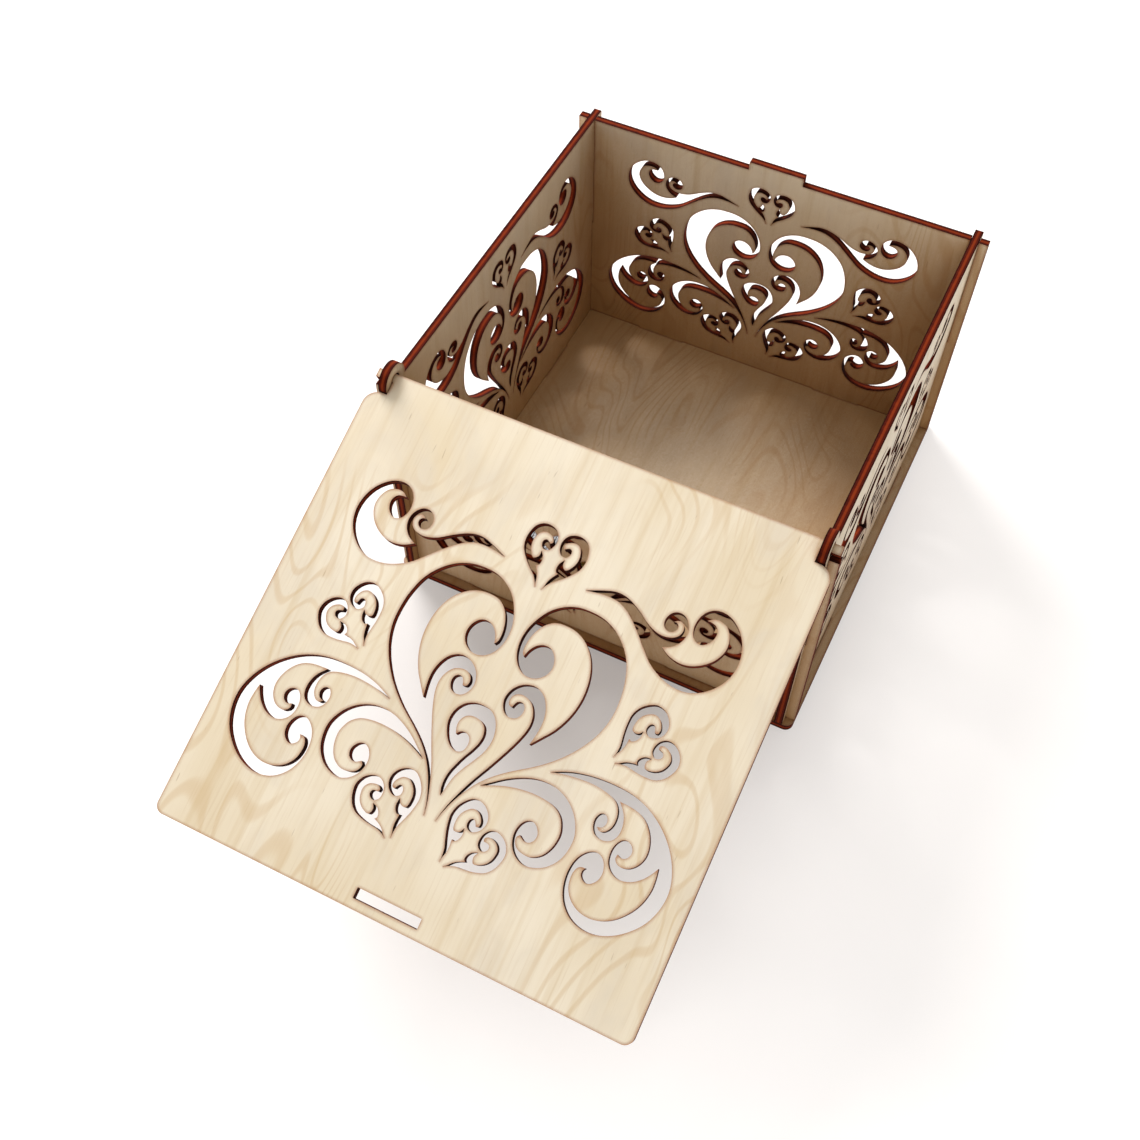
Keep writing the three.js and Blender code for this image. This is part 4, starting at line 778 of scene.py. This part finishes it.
def make_barrel():
    """Spring barrel, a cup with a raised band at each end, and its cover with a turned recess."""
    bm = bmesh.new()
    bore, inside, waist = THIN_R + SHAFT_GAP, BARREL_R - BARREL_WALL, BARREL_R - BAND_RISE
    revolve(bm, [(bore, BARREL_X), (BARREL_R, BARREL_X), (BARREL_R, BARREL_X + BAND),
                 (waist, BARREL_X + BAND_EDGE), (waist, BARREL_END - BAND_EDGE), (BARREL_R, BARREL_END - BAND),
                 (BARREL_R, BARREL_END), (inside, BARREL_END), (inside, BARREL_X + END_WALL),
                 (bore, BARREL_X + END_WALL)], along_x(), reach=0.3, closed=True, segments=FINE_SIDES)
    metal_piece("barrel_cup", "spring_barrel", bm)
    bm = bmesh.new()
    bore, rim = SHAFT_R + COVER_BORE, inside - COVER_FIT
    low, sunk = BARREL_END - COVER_THICKNESS, BARREL_END - RECESS
    recess = list(zip(RECESS_RADII, (BARREL_END, sunk, sunk, BARREL_END)))
    revolve(bm, [(bore, low), (rim, low), (rim, BARREL_END)] + recess + [(bore, BARREL_END)], along_x(),
            reach=0.15, closed=True, segments=FINE_SIDES)
    metal_piece("barrel_lid", "barrel_cover", bm)


def make_arbors():
    for name, node, profile, axis in ARBORS:
        bm = bmesh.new()
        revolve(bm, profile, along_x(*axis), reach=0.2, segments=ARBOR_SIDES)
        metal_piece(name, node, bm)


def make_worm():
    """Governor's shaft with a true helical thread, which dies out at its ends."""
    bm = bmesh.new()
    start = IDLER_Z - WORM_TURNS * WORM_PITCH / 2
    end = start + WORM_TURNS * WORM_PITCH
    steps = WORM_STEPS * WORM_TURNS
    thread = [start + (end - start) * i / steps for i in range(steps + 1)]
    rings = []
    for level in [WORM_LOW, WORM_LOW + TIP_CUT[1]] + thread + [WORM_HIGH - TIP_CUT[1], WORM_HIGH]:
        ring = []
        for i in range(WORM_SEGMENTS):
            turn = 2 * math.pi * i / WORM_SEGMENTS
            phase = ((level - start) / WORM_PITCH - turn / (2 * math.pi)) % 1
            ridge = min(max((0.5 - abs(phase - 0.5)) * FLANK - ROOT, 0), 1)
            fade = min(max((level - start) / WORM_FADE, 0), max((end - level) / WORM_FADE, 0), 1)
            radius = WORM_SHAFT + (WORM_R - WORM_SHAFT) * ridge * fade
            if level in (WORM_LOW, WORM_HIGH):
                radius -= TIP_CUT[0]
            ring.append(bm.verts.new(Vector((WORM_X + radius * math.cos(turn), WORM_Y + radius * math.sin(turn),
                                             level)) * MM))
        rings.append(ring)
    for below, above in zip(rings, rings[1:]):
        for i in range(WORM_SEGMENTS):
            j = (i + 1) % WORM_SEGMENTS
            bm.faces.new((below[i], below[j], above[j], above[i]))
    bm.faces.new(rings[0])
    bm.faces.new(rings[-1])
    metal_piece("helical_worm", "governor_worm", bm)


def make_key():
    """Butterfly key: turned socket with a groove, and two rounded wings with finger holes."""
    join = math.sqrt(WING_R ** 2 - (WING_OFFSET - NECK) ** 2)
    start = math.atan2(-join, NECK - WING_OFFSET)
    finish = math.pi - math.acos(WING_OFFSET / WING_R)
    wing = arc(WING_OFFSET, WING_X, WING_R, start, finish, 56)
    foot = WING_X - WING_ROOT
    outline = [(-NECK, foot), (NECK, foot)] + wing + [(-x, y) for x, y in reversed(wing[:-1])]
    holes = [circle(side * WING_OFFSET, WING_X, WING_R - WING_RIM, 48) for side in (-1, 1)]
    cos, sin = math.cos(KEY_TILT), math.sin(KEY_TILT)
    place = frame_of(Vector((KEY_X, AXIS_Y, AXIS_Z)), Vector((0, cos, sin)), Vector((1, 0, 0)),
                     Vector((0, sin, -cos)))
    bm = bmesh.new()
    place = place @ Matrix.Translation((0, 0, -WING_THICKNESS / 2))
    add_plate(bm, [outline] + holes, WING_THICKNESS, place, WING_ROUND)
    bore, radius = SHAFT_R + SHAFT_GAP, KEY_HOLE
    floor = KEY_X + KEY_SOCKET + KEY_WEB
    tip = KEY_X + KEY_LENGTH
    sunk = radius - KEY_GROOVE_DEPTH
    groove = [(r, KEY_X + x) for r, x in zip((radius, sunk, sunk, radius), KEY_GROOVE)]
    revolve(bm, [(0, floor), (bore, floor), (bore, KEY_X), (radius - KEY_MOUTH, KEY_X),
                 (radius, KEY_X + KEY_MOUTH)] + groove +
            [(radius, KEY_X + KEY_SOCKET), (radius - KEY_TIP, tip), (0, tip)],
            along_x(), reach=0.3, segments=KEY_SIDES)
    metal_piece("butterfly_key", "winding_key", bm)


def make_dressed_parts():
    """Flat and toothed parts: the CAD surface with broken arrises."""
    for node, width in DRESSED:
        bm = bmesh.new()
        bm.from_mesh(frame["nodes"][node].data)
        break_edges(bm, width)
        metal_piece(f"{node}_dressed", node, bm)


# ------------------------------------------------------------------------------------- floor and lights
HORIZON, OVERHEAD, BELOW = (0.14, 0.14, 0.14, 1), (0.88, 0.88, 0.88, 1), (1, 1, 1, 1)
OVERHEAD_BAND, BELOW_BAND = (0.5, 0.85), (0.26, 0.12)  # where each begins and is full, by the direction's height
LIGHTS = [  # name, place, what it faces, width, watts
    ("key", (1.05, -0.75, 1.1), (0, 0.05, 0.05), 0.8, 43.0),
    ("low_front", (-0.25, 1.9, 0.5), (0, 0.1, 0.08), 1.0, 5.0),
]
FLOOR_TONES = rgb(180, 176, 173), rgb(174, 170, 168)
FLOOR_HALF, FLOOR_DROP = 3.0, 0.0002
# The floor's glow, which paints light and shade on it: how strong it is in the painted shade under the lid and in
# the open, where that shade's middle is, how much narrower it is along x, where it ends, and what painted light is
# added behind the lid and far off.
GLOW_COLOUR = (1, 0.975, 0.955, 1)
GLOW_SHADE, GLOW_OPEN = 0.295, 0.66
SHADE_AT, SHADE_NARROW, SHADE_REACH = (0.008, 0.05), 1.79, (0.05, 0.236)
GLOW_BEHIND, BEHIND_Y = 0.19, (0.15, 0.27)
GLOW_FAR, FAR_REACH = 0.5, (0.5, 1.2)


def make_stage():
    """Pale floor that glows a little, so that shadows on it stay faint, and less so round the box, which paints
    shade there.

    It shows from above only, so that the underside can be looked at."""
    g = Finish("studio_floor")
    place = g.node("ShaderNodeTexCoord").outputs["Object"]
    g.link(g.mix(g.noise(place, (40, 40, 40)), *FLOOR_TONES), g.shader.inputs["Base Color"])
    g.shader.inputs["Roughness"].default_value = 0.9
    g.shader.inputs["Specular IOR Level"].default_value = 0.1
    g.shader.inputs["Emission Color"].default_value = GLOW_COLOUR
    from_shade = g.node("ShaderNodeVectorMath", operation="DISTANCE")
    g.link(g.scaled(place, (SHADE_NARROW, 1, 1)), from_shade.inputs[0])
    from_shade.inputs[1].default_value = (SHADE_AT[0] * SHADE_NARROW, SHADE_AT[1], 0)
    from_middle = g.node("ShaderNodeVectorMath", operation="LENGTH")
    g.link(place, from_middle.inputs[0])
    lit = g.math("MULTIPLY", g.ramp(from_shade.outputs["Value"], *SHADE_REACH), GLOW_OPEN - GLOW_SHADE)
    behind = g.math("MULTIPLY", g.ramp(g.axes(place)[1], *BEHIND_Y), GLOW_BEHIND)
    far = g.math("MULTIPLY", g.ramp(from_middle.outputs["Value"], *FAR_REACH), GLOW_FAR)
    # The glow paints shade under the lid and beside the box, and paints light behind the lid and far off.
    glow = g.math("ADD", g.math("ADD", g.math("ADD", lit, GLOW_SHADE), behind), far)
    g.link(glow, g.shader.inputs["Emission Strength"])
    one_sided = g.node("ShaderNodeMixShader")
    g.link(g.node("ShaderNodeNewGeometry").outputs["Backfacing"], one_sided.inputs[0])
    g.link(g.shader.outputs[0], one_sided.inputs[1])
    g.link(g.node("ShaderNodeBsdfTransparent").outputs[0], one_sided.inputs[2])
    g.link(one_sided.outputs[0], g.surface)
    mesh = bpy.data.meshes.new("studio_floor")
    corners = [(x, y, 0) for x, y in rectangle(0, 0, FLOOR_HALF, FLOOR_HALF)]
    mesh.from_pydata(corners, [], [(0, 1, 2, 3)])
    mesh.materials.append(g.material)
    floor = bpy.data.objects.new("studio_floor", mesh)
    floor.location.z = -FLOOR_DROP
    bpy.context.scene.collection.objects.link(floor)


def make_world():
    """Studio round the box: bright overhead, dim at the sides, and white below the horizon line."""
    world = bpy.data.worlds.new("studio")
    g = Graph(world)
    up = g.axes(g.node("ShaderNodeTexCoord").outputs["Generated"])[2]
    sky = g.mix(g.ramp(up, *OVERHEAD_BAND), HORIZON, OVERHEAD)
    background = g.node("ShaderNodeBackground")
    g.link(g.mix(g.ramp(up, *BELOW_BAND), sky, BELOW), background.inputs["Color"])
    background.inputs["Strength"].default_value = 1.0
    g.link(background.outputs[0], g.node("ShaderNodeOutputWorld").inputs["Surface"])
    bpy.context.scene.world = world


def make_light(name, place, target, size, watts):
    data = bpy.data.lights.new(name, "AREA")
    data.shape = "DISK"
    data.size = size
    data.energy = watts
    lamp = bpy.data.objects.new(name, data)
    lamp.location = place
    lamp.rotation_mode = "QUATERNION"
    lamp.rotation_quaternion = (Vector(target) - Vector(place)).to_track_quat("-Z", "Y")
    bpy.context.scene.collection.objects.link(lamp)


def make_lighting():
    make_world()
    for light in LIGHTS:
        make_light(*light)
    bpy.context.scene.view_settings.view_transform = "Standard"


# ------------------------------------------------------------------------------------------------ build
make_camera()
make_stage()
make_lighting()
make_panels()
make_screws()
make_drum()
make_barrel()
make_arbors()
make_worm()
make_key()
make_dressed_parts()
